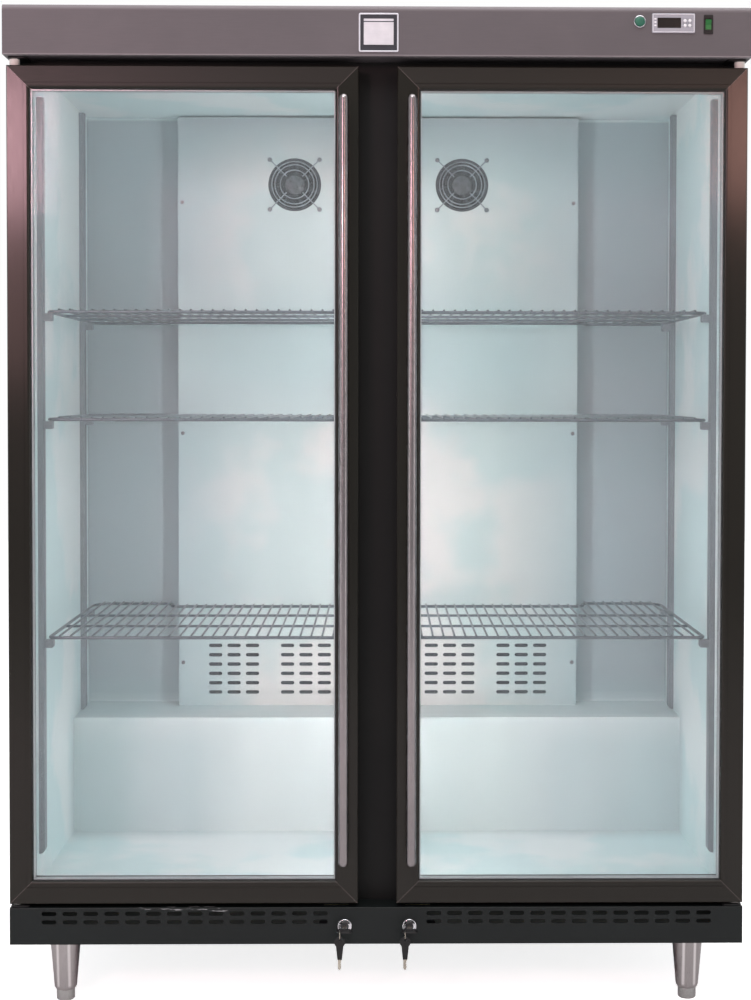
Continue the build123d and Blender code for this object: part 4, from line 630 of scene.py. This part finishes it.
def add_handle(bm, side):
    """Tube with domed ends on two posts, each with a collar against the door."""
    x = side * HANDLE_X
    low = HANDLE_Z[0] + HANDLE_RADIUS
    high = HANDLE_Z[1] - HANDLE_RADIUS
    tube = dome(HANDLE_RADIUS, low, -1)[::-1] + dome(HANDLE_RADIUS, high, 1)
    add_lathe(bm, tube, (x, HANDLE_DEPTH, 0), "z")
    collar_front = DOOR_FRONT - COLLAR
    post = [
        (POST_RADIUS, HANDLE_DEPTH + POST_OVERLAP),
        (POST_RADIUS, collar_front - 1),
        (POST_RADIUS + 1, collar_front),
        (COLLAR_RADIUS - COLLAR_CHAMFER, collar_front),
        (COLLAR_RADIUS, collar_front + COLLAR_CHAMFER),
        (COLLAR_RADIUS, DOOR_FRONT),
    ]
    for post_z in POST_Z:
        add_lathe(bm, post, (x, 0, post_z), "depth", segments=32)


for side_name, side in SIDES:
    body = f"door_{side_name}"
    add_piece(
        f"glazing_seal_{side_name}", body, seal,
        lambda bm: add_door_ring(bm, side, SEAL, PANE_FACES), [f"door_{side_name}_spacer"], bevel=0.2,
    )
    add_piece(
        f"glazing_spacer_{side_name}", body, spacer_metal,
        lambda bm: add_door_ring(bm, side, SPACER, PANE_FACES), [f"door_{side_name}_spacer"], bevel=0.2,
    )
    add_piece(
        f"handle_{side_name}", body, handle_metal,
        lambda bm: add_handle(bm, side), [f"door_{side_name}_handle"],
    )

# Shelves

SHELF_LEVELS = {"top": 1229, "middle": 1035, "bottom": 640}
SHELF_INNER = 21
SHELF_OUTER = 594
SHELF_FRONT = 107
SHELF_REAR = 595
NOTCH_REAR = 549
NOTCH_X = 430
WIRE_COUNT = 28
OUTER_BEND = 38
RIM_BENDS = (12, 14, OUTER_BEND, 14, 14, 12)
RIM_RADIUS = 3
WIRE_RADIUS = 2
WIRE_LIFT = 4
WIRE_OVERHANG = 1
# Slope of the wires' rear ends along the rounded outer corner
BEND_SLOPE = 0.35
CROSS_DEPTHS = (260, 410)
CROSS_RADIUS = 2.5
CROSS_DROP = 0.4


def add_shelf(bm, side, level):
    """Bent rim stepped round the evaporator cover, wires over it and cross bars under them."""
    corners = [
        (SHELF_INNER, SHELF_FRONT),
        (SHELF_OUTER, SHELF_FRONT),
        (SHELF_OUTER, SHELF_REAR),
        (NOTCH_X, SHELF_REAR),
        (NOTCH_X, NOTCH_REAR),
        (SHELF_INNER, NOTCH_REAR),
    ]
    rim = bent_path([(side * x, depth, level) for x, depth in corners], RIM_BENDS)
    add_wire(bm, rim, RIM_RADIUS, closed=True, segments=12)
    pitch = (SHELF_OUTER - SHELF_INNER) / (WIRE_COUNT + 1)
    top = level + WIRE_LIFT
    front = SHELF_FRONT - WIRE_OVERHANG
    for index in range(WIRE_COUNT):
        x = SHELF_INNER + (index + 1) * pitch
        rear = NOTCH_REAR if x < NOTCH_X + RIM_RADIUS else SHELF_REAR
        rear -= max(0, x - (SHELF_OUTER - OUTER_BEND)) * BEND_SLOPE
        rear += WIRE_OVERHANG
        add_wire(bm, [(side * x, front, top), (side * x, rear, top)], WIRE_RADIUS, segments=8)
    cross_z = level - CROSS_DROP
    for depth in CROSS_DEPTHS:
        ends = [(side * SHELF_INNER, depth, cross_z), (side * SHELF_OUTER, depth, cross_z)]
        add_wire(bm, ends, CROSS_RADIUS)


for side_name, side in SIDES:
    for level_name, level in SHELF_LEVELS.items():
        shelf = f"shelf_{side_name}_{level_name}"
        add_piece(
            f"wire_{shelf}", shelf, shelf_coating,
            lambda bm: add_shelf(bm, side, level), [shelf],
        )

# Fans behind the cover

FAN_X = 174
FAN_Z = 1517
GUARD_RADII = (47, 40.6, 29.5)
GUARD_DEPTH = 563.2
GUARD_WIRE = 1.2
RING_STEPS = 72
ARM_REACH = (24, 52)
ARM_DEPTH = GUARD_DEPTH + 2.2
LOOP_HALF = 51.5
LOOP_RADIUS = 3.8
LOOP_DEPTH = 568.6
LOOP_SWING = 340
LOOP_STEPS = 20
# Profiles are rows of (radius, depth), and a closed one is the section of a ring
GUARD_SCREW = [(3.9, 569.8), (3.9, 567.2), (3.4, 566.4), (2.2, 566), (0, 565.9)]
FAN_MOUTH = [(55.6, 572.2), (55.6, 591), (50.4, 591), (50.4, 577), (51.2, 574), (53, 572.4)]
HUB_RADIUS = 21
HUB = [
    (HUB_RADIUS - 2, 590.8), (HUB_RADIUS, 589.5), (HUB_RADIUS, 576), (HUB_RADIUS - 0.6, 574.8), (0, 574.6),
]
LABEL_RADIUS = 20
HUB_LABEL = [(LABEL_RADIUS - 0.2, 574.7), (LABEL_RADIUS, 574.4), (LABEL_RADIUS - 0.3, 574.2), (0, 574.1)]
BLADES = 7
BLADE_RADII = (HUB_RADIUS - 1.5, 49.5)
BLADE_DEPTH = 582.5
BLADE_HALF_DEPTH = 8.2
HALF_CHORD = (12.5, 21.5)
BLADE_PITCH = (48, 30)
BLADE_SWEEP = 10
BLADE_FLATTENING = 0.72
BLADE_EDGE = 0.35
BLADE_BELLY = 0.55
BLADE_STEPS = 8
SECTION_STEPS = 16


def add_fan_guard(bm, centre_x):
    """Three wire rings on four arms, each arm ending in a loop round its screw."""
    for radius in GUARD_RADII:
        circle = []
        for step in range(RING_STEPS):
            angle = 2 * math.pi * step / RING_STEPS
            x, z = centre_x + radius * math.cos(angle), FAN_Z + radius * math.sin(angle)
            circle.append((x, GUARD_DEPTH, z))
        add_wire(bm, circle, GUARD_WIRE, closed=True, segments=8)
    for quarter in range(4):
        angle = math.radians(45 + 90 * quarter)
        out = Vector((math.cos(angle), 0, math.sin(angle)))
        around = Vector((-math.sin(angle), 0, math.cos(angle)))
        arm_centre = Vector((centre_x, ARM_DEPTH, FAN_Z))
        loop_centre = Vector((centre_x, LOOP_DEPTH, FAN_Z)) + out * LOOP_HALF * math.sqrt(2)
        path = [arm_centre + out * reach for reach in ARM_REACH]
        for step in range(LOOP_STEPS + 1):
            swing = math.radians(180 - LOOP_SWING * step / LOOP_STEPS)
            path.append(loop_centre + (out * math.cos(swing) + around * math.sin(swing)) * LOOP_RADIUS)
        add_wire(bm, path, GUARD_WIRE, segments=8)


def add_guard_screws(bm, centre_x):
    for x_sign in (-1, 1):
        for z_sign in (-1, 1):
            centre = (centre_x + x_sign * LOOP_HALF, 0, FAN_Z + z_sign * LOOP_HALF)
            add_lathe(bm, GUARD_SCREW, centre, "depth", segments=24)


def add_blade(bm, centre_x, turn):
    """Twisted blade with a rounded section, from the hub to the tip."""
    rings = []
    for step in range(BLADE_STEPS + 1):
        share = step / BLADE_STEPS
        radius = between(BLADE_RADII, share)
        half_chord = between(HALF_CHORD, share)
        pitch = math.radians(between(BLADE_PITCH, share))
        sweep = math.radians(BLADE_SWEEP * share)
        ring = []
        for part in range(SECTION_STEPS):
            angle = 2 * math.pi * part / SECTION_STEPS
            along = half_chord * math.cos(angle)
            thick = (BLADE_EDGE + BLADE_BELLY * abs(math.sin(angle))) * math.sin(angle)
            around = along * math.cos(pitch) - thick * math.sin(pitch)
            depth = (along * math.sin(pitch) + thick * math.cos(pitch)) * BLADE_FLATTENING
            depth = max(-BLADE_HALF_DEPTH, min(BLADE_HALF_DEPTH, depth))
            spot_angle = turn + sweep + around / radius
            x = centre_x + radius * math.cos(spot_angle)
            z = FAN_Z + radius * math.sin(spot_angle)
            ring.append(place(x, BLADE_DEPTH + depth, z))
        rings.append(ring)
    skin_rings(bm, rings)


def add_rotor(bm, centre_x):
    add_lathe(bm, HUB, (centre_x, 0, FAN_Z), "depth", segments=64)
    for blade in range(BLADES):
        add_blade(bm, centre_x, 2 * math.pi * blade / BLADES)


for side_name, side in SIDES:
    rotor = f"fan_rotor_{side_name}"
    centre_x = side * FAN_X
    add_piece(
        f"bladed_{rotor}", rotor, blade_plastic,
        lambda bm: add_rotor(bm, centre_x), [rotor],
    )
    add_piece(
        f"hub_label_{side_name}", rotor, fan_label,
        lambda bm: add_lathe(bm, HUB_LABEL, (centre_x, 0, FAN_Z), "depth"), [rotor],
    )
    add_piece(
        f"fan_mouth_{side_name}", "cabinet", fan_plastic,
        lambda bm: add_lathe(bm, FAN_MOUTH, (centre_x, 0, FAN_Z), "depth", segments=72, closed=True),
    )
add_piece(
    "fan_guard_wires", "cabinet", guard_wire,
    lambda bm: [add_fan_guard(bm, side * FAN_X) for _, side in SIDES], ["fan_guards"],
)
add_piece(
    "fan_guard_screws", "cabinet", screw_steel,
    lambda bm: [add_guard_screws(bm, side * FAN_X) for _, side in SIDES],
)

# Lamp behind the mullion

TUBE_DEPTH = 101
TUBE_Z = (290, 1580)
TUBE_RADIUS = 7.6
CAP_RADIUS = 8
CAP_HEIGHT = 4
CAP_SLOPE = 1
HOLDER_HALF = 9
HOLDER_HEIGHT = 25
HOLDER_CORNER = 3
HOLDER_DEPTH = (90, 110)


def add_lamp_tube(bm):
    """Straight tube with a wider cap at each end."""
    low, high = TUBE_Z
    lower_cap, upper_cap = low + CAP_HEIGHT, high - CAP_HEIGHT
    profile = [
        (0, low), (CAP_RADIUS, low), (CAP_RADIUS, lower_cap), (TUBE_RADIUS, lower_cap + CAP_SLOPE),
        (TUBE_RADIUS, upper_cap - CAP_SLOPE), (CAP_RADIUS, upper_cap), (CAP_RADIUS, high), (0, high),
    ]
    add_lathe(bm, profile, (0, TUBE_DEPTH, 0), "z", segments=32)


def add_lamp_holders(bm):
    for bottom in (TUBE_Z[0] - HOLDER_HEIGHT, TUBE_Z[1]):
        across, height = (-HOLDER_HALF, HOLDER_HALF), (bottom, bottom + HOLDER_HEIGHT)
        add_outline(bm, rounded_rectangle(across, height, HOLDER_CORNER), HOLDER_DEPTH)


add_piece("lamp_tube", "cabinet", tube_light, add_lamp_tube, ["light_tube"])
add_piece("lamp_holders", "cabinet", nylon, add_lamp_holders, ["light_tube"], bevel=0.5)

# Bare badge plate on the canopy

BADGE_X = 1
BADGE_Z = 1707.7
BADGE_HALF = (34.5, 33.5)
# Rows of inset from the badge's outer edge, corner radius and depth
BADGE_RIM = ((0, 3, 0), (0, 3, -1.5), (0.7, 2.6, -2.2), (2.1, 1.6, -2.2), (2.8, 1.2, -1.3), (2.8, 1.2, 0))
PLATE_INSET = 2.7
PLATE_CORNER = 1.2
PLATE_FACE = -1.1
PANEL_FACE = -1.5
PANEL_CORNER = 0.5
PANEL_HALF = 25.8
PANEL_Z = (1686.6, 1725.6)
BAR_Z = (1727.4, 1731.4)


def badge_outline(inset, radius):
    half_x, half_z = (half - inset for half in BADGE_HALF)
    x, z = (BADGE_X - half_x, BADGE_X + half_x), (BADGE_Z - half_z, BADGE_Z + half_z)
    return rounded_rectangle(x, z, radius)


def add_badge_rim(bm):
    add_rim(bm, [(badge_outline(inset, radius), depth) for inset, radius, depth in BADGE_RIM])


def add_badge_plate(bm):
    add_outline(bm, badge_outline(PLATE_INSET, PLATE_CORNER), (PLATE_FACE, 0))


def add_badge_panels(bm):
    across = (BADGE_X - PANEL_HALF, BADGE_X + PANEL_HALF)
    for height in (PANEL_Z, BAR_Z):
        outline = rounded_rectangle(across, height, PANEL_CORNER, steps=3)
        add_outline(bm, outline, (PANEL_FACE, PLATE_FACE))


add_piece("badge_rim", "cabinet", case_edge, add_badge_rim)
add_piece("badge_plate", "cabinet", badge_black, add_badge_plate)
add_piece("badge_panels", "cabinet", badge_silver, add_badge_panels)

# Pilot lamp and temperature controller

LAMP = (454.3, 0, 1728.6)
LAMP_BEZEL = [
    (0, 28), (8, 28), (8, 0), (10.8, 0), (10.8, -1.6), (10.3, -2.5), (9.5, -2.9), (8.8, -2.4), (8.7, -1),
    (0, -1),
]
LAMP_LENS = [(0, -1), (8.6, -1), (8.6, -2), (8.2, -2.9), (7.2, -3.6), (5.4, -4.1), (2.8, -4.4), (0, -4.5)]
CASE_X = (475.2, 550.2)
CASE_Z = (1708.8, 1742.8)
# Rows of inset from the case's outer edge, corner radius and depth
CASE_RIM = ((0.9, 1.6, -1.9), (1.3, 1.4, -2.7), (2.1, 1.2, -2.7), (2.6, 1, -1.9))
WINDOW_X = (484.6, 525.8)
WINDOW_Z = (1717.5, 1735.4)
WINDOW_DEPTH = (-1.7, -1.25)
WINDOW_GAP = 0.15
WINDOW_CORNER = 0.8
MARK_X = (478.9, 482.9)
MARK_Z = (1733.2, 1727.6, 1722)
MARK_HALF = 1.2
MARK_CORNER = 0.6
MARK_DEPTH = (-2.2, -1.95)
KEYS = {"set": (532.6, 1730.3), "down": (532.6, 1722), "up": (541, 1730.3), "defrost": (541, 1722)}
KEY_CAP = [(0, 0.2), (2.7, 0.2), (2.85, -0.4), (2.85, -2), (2.6, -2.5), (1.8, -2.75), (0, -2.8)]


def inset_outline(x, z, inset, radius):
    return rounded_rectangle((x[0] + inset, x[1] - inset), (z[0] + inset, z[1] - inset), radius)


def add_case_edge(bm):
    """Raised rim round the face of the controller."""
    rows = [(inset_outline(CASE_X, CASE_Z, inset, radius), depth) for inset, radius, depth in CASE_RIM]
    add_rim(bm, rows)


def add_window(bm):
    add_outline(bm, inset_outline(WINDOW_X, WINDOW_Z, WINDOW_GAP, WINDOW_CORNER), WINDOW_DEPTH)


def add_marks(bm):
    for mark_z in MARK_Z:
        height = (mark_z - MARK_HALF, mark_z + MARK_HALF)
        add_outline(bm, rounded_rectangle(MARK_X, height, MARK_CORNER, steps=3), MARK_DEPTH)


add_piece(
    "lamp_bezel", "cabinet", chrome,
    lambda bm: add_lathe(bm, LAMP_BEZEL, LAMP, "depth"), ["pilot_lamp"],
)
add_piece(
    "lamp_lens", "cabinet", pilot_green,
    lambda bm: add_lathe(bm, LAMP_LENS, LAMP, "depth"), ["pilot_lamp"],
)
add_piece("controller_rim", "cabinet", case_edge, add_case_edge)
add_piece("controller_window", "cabinet", display_black, add_window)
add_piece("controller_marks", "cabinet", key_silver, add_marks)
for key_name, (key_x, key_z) in KEYS.items():
    key = f"controller_key_{key_name}"
    add_piece(
        f"round_key_{key_name}", key, key_silver,
        lambda bm: add_lathe(bm, KEY_CAP, (key_x, 0, key_z), "depth", segments=32), [key],
    )

# Locks, with a key in each and a spare key hanging from it

LOCK_X = 57
LOCK_Z = 144
PLUG = [(0, 28.4), (7, 28.4), (7, 9.5), (6.6, 9), (0, 9)]
CAM_REACH = 40
CAM_HALF = 6
CAM_DEPTH = (28.5, 31.5)
CAM_STEPS = 12
BOW_DEPTH = (-26.5, -8)
BOW_HALF = 13
BOW_CORNER = 7
BOW_CHAMFER = 0.4
BOW_SLOT_DEPTH = (-23, -15.5)
BOW_SLOT_HALF = 10.5
BOW_SLOT_CORNER = 2
BOW_SLOT_CHAMFER = 0.3
BOW_Z = (142.5, 145.5)
NECK_DEPTH = (-9, 9.2)
NECK_HALF = 4.5
NECK_HALF_HEIGHT = 1.1
SPARE_OFFSET = 8
RING_DEPTH = -24.75
RING_Z = 139.75
RING_RADIUS = 7
RING_WIRE = 0.75
KEY_RING_STEPS = 40
# The spare key hangs from its head's centre. Its points are (X, Z) from that centre.
HEAD_Z = 127.15
HEAD_RADIUS = 9.5
HEAD_STEPS = 40
HEAD_HALF_DEPTH = 1.5
HEAD_CHAMFER = 0.6
HEAD_HOLE_Z = 4.5
HEAD_HOLE_RADIUS = 2
SPARE_NECK_TOP = (6.5, -6.93)
SPARE_NECK_END = (4, -30.5)
SPARE_NECK_SHARES = (0.25, 0.5, 0.75, 1.0)
# Size of the head's flat faces inside their chamfer: across and above the centre, and below it
FACE_SHARE = 0.93
FACE_SHARE_BELOW = 0.985
KEY_BLADE_HALF = 3.2
KEY_BLADE_THICKNESS = 1.8
KEY_BLADE_TOP = -29.5
KEY_TIP_Z = -48.5
KEY_TIP_HALF = 1
KEY_TIP_TAPER = 2.4
TEETH = ((-32, 0), (-33.5, 1.5), (-35, 0.5), (-37, 2), (-39, 0.4), (-41, 1.6), (-43, 0.3), (-45, 0.9))


def add_plug(bm, lock_x, side):
    """Turning plug of the lock and the cam on its inner end."""
    add_lathe(bm, PLUG, (lock_x, 0, LOCK_Z), "depth")
    outline = [(lock_x, LOCK_Z - CAM_HALF), (lock_x, LOCK_Z + CAM_HALF)]
    for step in range(CAM_STEPS + 1):
        angle = math.radians(90 - 180 * step / CAM_STEPS)
        x = lock_x + side * (CAM_REACH + CAM_HALF * math.cos(angle))
        outline.append((x, LOCK_Z + CAM_HALF * math.sin(angle)))
    add_outline(bm, outline, CAM_DEPTH)


def add_bow(bm, lock_x):
    """Flat moulded bow of the key in the lock, with a slot for the ring."""
    section = []
    low, high = BOW_Z
    cut = BOW_CHAMFER
    for inset, z in ((cut, low), (0, low + cut), (0, high - cut), (cut, high)):
        x = (lock_x - BOW_HALF + inset, lock_x + BOW_HALF - inset)
        depth = (BOW_DEPTH[0] + inset, BOW_DEPTH[1] - inset)
        section.append((rounded_rectangle(x, depth, BOW_CORNER - inset), z))
    cut = BOW_SLOT_CHAMFER
    for grow, z in ((cut, high), (0, high - cut), (0, low + cut), (cut, low)):
        x = (lock_x - BOW_SLOT_HALF - grow, lock_x + BOW_SLOT_HALF + grow)
        depth = (BOW_SLOT_DEPTH[0] - grow, BOW_SLOT_DEPTH[1] + grow)
        section.append((rounded_rectangle(x, depth, BOW_SLOT_CORNER), z))
    skin_rings(bm, [[place(x, depth, z) for x, depth in plan] for plan, z in section], closed=True)


def add_key_neck(bm, lock_x):
    """Steel of the key between its bow and the plug."""
    left, right = lock_x - NECK_HALF, lock_x + NECK_HALF
    front, rear = NECK_DEPTH
    plan = [(left, rear), (right, rear), (right, front), (left, front)]
    height = (LOCK_Z - NECK_HALF_HEIGHT, LOCK_Z + NECK_HALF_HEIGHT)
    skin_rings(bm, [[place(x, depth, z) for x, depth in plan] for z in height])


def add_key_ring(bm, spare_x):
    circle = []
    for step in range(KEY_RING_STEPS):
        angle = 2 * math.pi * step / KEY_RING_STEPS
        depth = RING_DEPTH + RING_RADIUS * math.cos(angle)
        circle.append((spare_x, depth, RING_Z + RING_RADIUS * math.sin(angle)))
    add_wire(bm, circle, RING_WIRE, closed=True, segments=8)


def add_spare_head(bm, spare_x):
    """Round black head of the spare key, running down into its neck, with the hole for the ring."""
    outline = []
    start = math.degrees(math.atan2(SPARE_NECK_TOP[1], SPARE_NECK_TOP[0]))
    swing = 180 - 2 * start
    for step in range(HEAD_STEPS + 1):
        angle = math.radians(start + swing * step / HEAD_STEPS)
        outline.append((HEAD_RADIUS * math.cos(angle), HEAD_RADIUS * math.sin(angle)))
    neck = []
    for share in SPARE_NECK_SHARES:
        neck.append([between(ends, share) for ends in zip(SPARE_NECK_TOP, SPARE_NECK_END)])
    outline += [(-x, z) for x, z in neck] + neck[::-1]
    hole = []
    for x, z in outline:
        reach = math.hypot(x, z - HEAD_HOLE_Z) / HEAD_HOLE_RADIUS
        hole.append((x / reach, HEAD_HOLE_Z + (z - HEAD_HOLE_Z) / reach))
    face = [(x * FACE_SHARE, z * (FACE_SHARE if z > 0 else FACE_SHARE_BELOW)) for x, z in outline]
    front, rear = RING_DEPTH - HEAD_HALF_DEPTH, RING_DEPTH + HEAD_HALF_DEPTH
    rows = [
        (face, front), (outline, front + HEAD_CHAMFER), (outline, rear - HEAD_CHAMFER), (face, rear),
        (hole, rear), (hole, front),
    ]
    add_rim(bm, [([(spare_x + x, HEAD_Z + z) for x, z in row], depth) for row, depth in rows])


def add_spare_blade(bm, spare_x):
    """Flat steel blade with teeth cut along one edge."""
    outline = [(-KEY_BLADE_HALF, KEY_BLADE_TOP), (-KEY_BLADE_HALF, KEY_TIP_Z + KEY_TIP_TAPER)]
    outline += [(-KEY_TIP_HALF, KEY_TIP_Z), (KEY_TIP_HALF, KEY_TIP_Z)]
    outline += [(KEY_BLADE_HALF - cut, z) for z, cut in reversed(TEETH)]
    outline.append((KEY_BLADE_HALF, KEY_BLADE_TOP))
    depth = (RING_DEPTH - KEY_BLADE_THICKNESS / 2, RING_DEPTH + KEY_BLADE_THICKNESS / 2)
    add_outline(bm, [(spare_x + x, HEAD_Z + z) for x, z in outline], depth)


for side_name, side in SIDES:
    core, spare = f"lock_core_{side_name}", f"spare_key_{side_name}"
    lock_x = side * LOCK_X
    spare_x = lock_x - SPARE_OFFSET
    add_piece(
        f"lock_plug_{side_name}", core, plug_steel,
        lambda bm: add_plug(bm, lock_x, side), [core], bevel=0.2,
    )
    add_piece(
        f"key_bow_{side_name}", core, key_plastic, lambda bm: add_bow(bm, lock_x), [core],
    )
    add_piece(
        f"key_neck_{side_name}", core, key_steel,
        lambda bm: add_key_neck(bm, lock_x), [core], bevel=0.2,
    )
    add_piece(
        f"key_ring_{side_name}", spare, key_steel,
        lambda bm: add_key_ring(bm, spare_x), [spare],
    )
    add_piece(
        f"spare_head_{side_name}", spare, key_plastic,
        lambda bm: add_spare_head(bm, spare_x), [spare],
    )
    add_piece(
        f"spare_blade_{side_name}", spare, key_steel,
        lambda bm: add_spare_blade(bm, spare_x), [spare], bevel=0.15,
    )

# Finishes of the solids that stay as they are

FINISHES = {
    "back_panels": zinc_sheet,
    "base_grille": base_paint,
    "base_tray": tray_sheet,
    "canopy": canopy_paint,
    "center_mullion": mullion_paint,
    "compressor": compressor_black,
    "condenser": fin_aluminium,
    "condenser_fan_rotor": fan_plastic,
    "controller_case": case_silver,
    "cord_gland": hardware_black,
    "evaporator_coil": fin_aluminium,
    "evaporator_cover": cover,
    "fan_frames": fan_plastic,
    "front_frame": mullion_paint,
    "hinge_brackets": hardware_black,
    "hinge_bushes": nylon,
    "inner_liner": lining,
    "insulation_foam": foam,
    "legs": leg_steel,
    "lock_barrels": chrome,
    "outer_shell": body_paint,
    "refrigerant_pipes": copper,
    "screws": screw_steel,
    "shelf_clips": upright_steel,
    "shelf_pilasters": upright_steel,
    "switch_frame": case_black,
    "switch_rocker": rocker_green,
}
for side_name, _ in SIDES:
    FINISHES[f"door_{side_name}_frame"] = door_paint
    FINISHES[f"door_{side_name}_gasket"] = rubber
    FINISHES[f"door_{side_name}_glass"] = pane_glass
    for row in ("front", "rear"):
        FINISHES[f"foot_{row}_{side_name}"] = foot_steel
for name, material in FINISHES.items():
    for material_slot in nodes[name].material_slots:
        material_slot.material = material

# Floor, background and light, with places and sizes in metres

FLOOR_HALF = 9
FLOOR_GLOW = 0.78
SOFT_LEVEL = 0.42
SIDE_TONE = (1.0, 0.93, 0.94)
# Name, centre, target, size, power and colour
LAMPS = (
    ("front softbox", (-0.5, -3.9, 5.2), (0, 0, 0.9), (3.2, 2.2), 145, (1, 1, 1)),
    ("top softbox", (0.5, -0.6, 4.4), (0, 0, 0), (3.0, 3.0), 95, (1, 1, 1)),
    ("warm card left", (-1.4, -3.3, 2.0), (-0.63, -0.3, 1.5), (0.5, 0.54), 26, (1.0, 0.57, 0.64)),
    ("warm card left, low", (-1.4, -3.3, 1.44), (-0.63, -0.3, 1.3), (0.5, 0.6), 3.6, (1.0, 0.55, 0.55)),
    ("warm card right", (1.4, -3.3, 2.03), (0.63, -0.3, 1.5), (0.5, 0.5), 9.8, (1.0, 0.5, 0.42)),
    ("side card left", (-2.7, -2.0, 0.95), (0, -0.3, 0.95), (0.22, 2.0), 10, SIDE_TONE),
    ("side card right", (2.7, -2.0, 0.95), (0, -0.3, 0.95), (0.22, 2.0), 10, SIDE_TONE),
    ("machine bay fill", (0, -0.2, 0.16), (0, -0.2, 0), (1.2, 0.2), 0.026, (1, 1, 1)),
)


def add_floor():
    """Pale floor that shows as white around the object's own soft shadow."""
    mesh = bpy.data.meshes.new("floor")
    half = FLOOR_HALF
    corners = [(-half, -half, 0), (half, -half, 0), (half, half, 0), (-half, half, 0)]
    mesh.from_pydata(corners, [], [(0, 1, 2, 3)])
    floor = bpy.data.objects.new("floor", mesh)
    bpy.context.scene.collection.objects.link(floor)
    material, tree, shader = new_material("floor_paper")
    shader.inputs["Roughness"].default_value = 0.9
    shader.inputs["Specular IOR Level"].default_value = 0.0
    drift = span(tree, noise(tree, 3.0), 0.0, 1.0)
    tone = blend_colours(tree, drift, (0.86, 0.86, 0.86, 1), (0.83, 0.83, 0.83, 1))
    tree.links.new(tone, shader.inputs["Base Color"])
    light_path = add_node(tree, "ShaderNodeLightPath")
    seen = calc(tree, "MULTIPLY", light_path.outputs["Is Camera Ray"], FLOOR_GLOW)
    shader.inputs["Emission Color"].default_value = (1, 1, 1, 1)
    tree.links.new(seen, shader.inputs["Emission Strength"])
    mesh.materials.append(material)


def build_world():
    """White behind the object for the camera, metal and glass, and a plainer level for soft light."""
    world = bpy.data.worlds.new("studio")
    bpy.context.scene.world = world
    world.use_nodes = True
    tree = world.node_tree
    tree.nodes.clear()
    light_path = add_node(tree, "ShaderNodeLightPath")
    spot = add_node(tree, "ShaderNodeTexCoord")
    parts = add_node(tree, "ShaderNodeSeparateXYZ", {0: spot.outputs["Generated"]})
    behind = span(tree, parts.outputs["Y"], 0.2, 1.0, (-0.6, 0.05))
    rays = light_path.outputs
    mirrored = calc(tree, "MULTIPLY", rays["Is Glossy Ray"], behind)
    direct = calc(tree, "MAXIMUM", rays["Is Camera Ray"], rays["Is Transmission Ray"])
    white = calc(tree, "MAXIMUM", direct, mirrored)
    soft = add_node(tree, "ShaderNodeBackground", {"Color": (0.95, 0.97, 1.0, 1), "Strength": SOFT_LEVEL})
    plain = add_node(tree, "ShaderNodeBackground", {"Color": (1, 1, 1, 1), "Strength": 1.0})
    mixed = add_node(tree, "ShaderNodeMixShader", {0: white, 1: soft.outputs[0], 2: plain.outputs[0]})
    add_node(tree, "ShaderNodeOutputWorld", {0: mixed.outputs[0]})


def add_lamp(name, centre, target, size, power, colour):
    """Soft rectangular lamp that the camera doesn't see."""
    light = bpy.data.lights.new(name, "AREA")
    light.shape = "RECTANGLE"
    light.size, light.size_y = size
    light.energy = power
    light.color = colour
    lamp = bpy.data.objects.new(name, light)
    bpy.context.scene.collection.objects.link(lamp)
    lamp.location = centre
    lamp.rotation_euler = (Vector(target) - Vector(centre)).to_track_quat("-Z", "Y").to_euler()
    lamp.visible_camera = False


add_floor()
build_world()
for lamp_settings in LAMPS:
    add_lamp(*lamp_settings)

# Camera at the photograph's viewing angle

CAMERA_SPOT = (0.0049, -3.186, 1.0798)
CAMERA_YAW = -0.746
CAMERA_PITCH = -1.45
CAMERA_ROLL = -0.09
CAMERA_LENS = 59.36
CAMERA_SHIFT = (-0.0264, -0.0631)

camera = bpy.data.cameras.new("camera")
camera.lens = CAMERA_LENS
camera.sensor_width = 36
camera.shift_x, camera.shift_y = CAMERA_SHIFT
camera_object = bpy.data.objects.new("camera", camera)
bpy.context.scene.collection.objects.link(camera_object)
camera_object.matrix_world = (
    Matrix.Translation(CAMERA_SPOT)
    @ Matrix.Rotation(math.radians(CAMERA_YAW), 4, "Z")
    @ Matrix.Rotation(math.radians(CAMERA_PITCH), 4, "X")
    @ Matrix.Rotation(math.radians(CAMERA_ROLL), 4, "Y")
    @ Matrix.Rotation(math.radians(90), 4, "X")
)
bpy.context.scene.camera = camera_object
bpy.context.scene.view_settings.view_transform = "Standard"
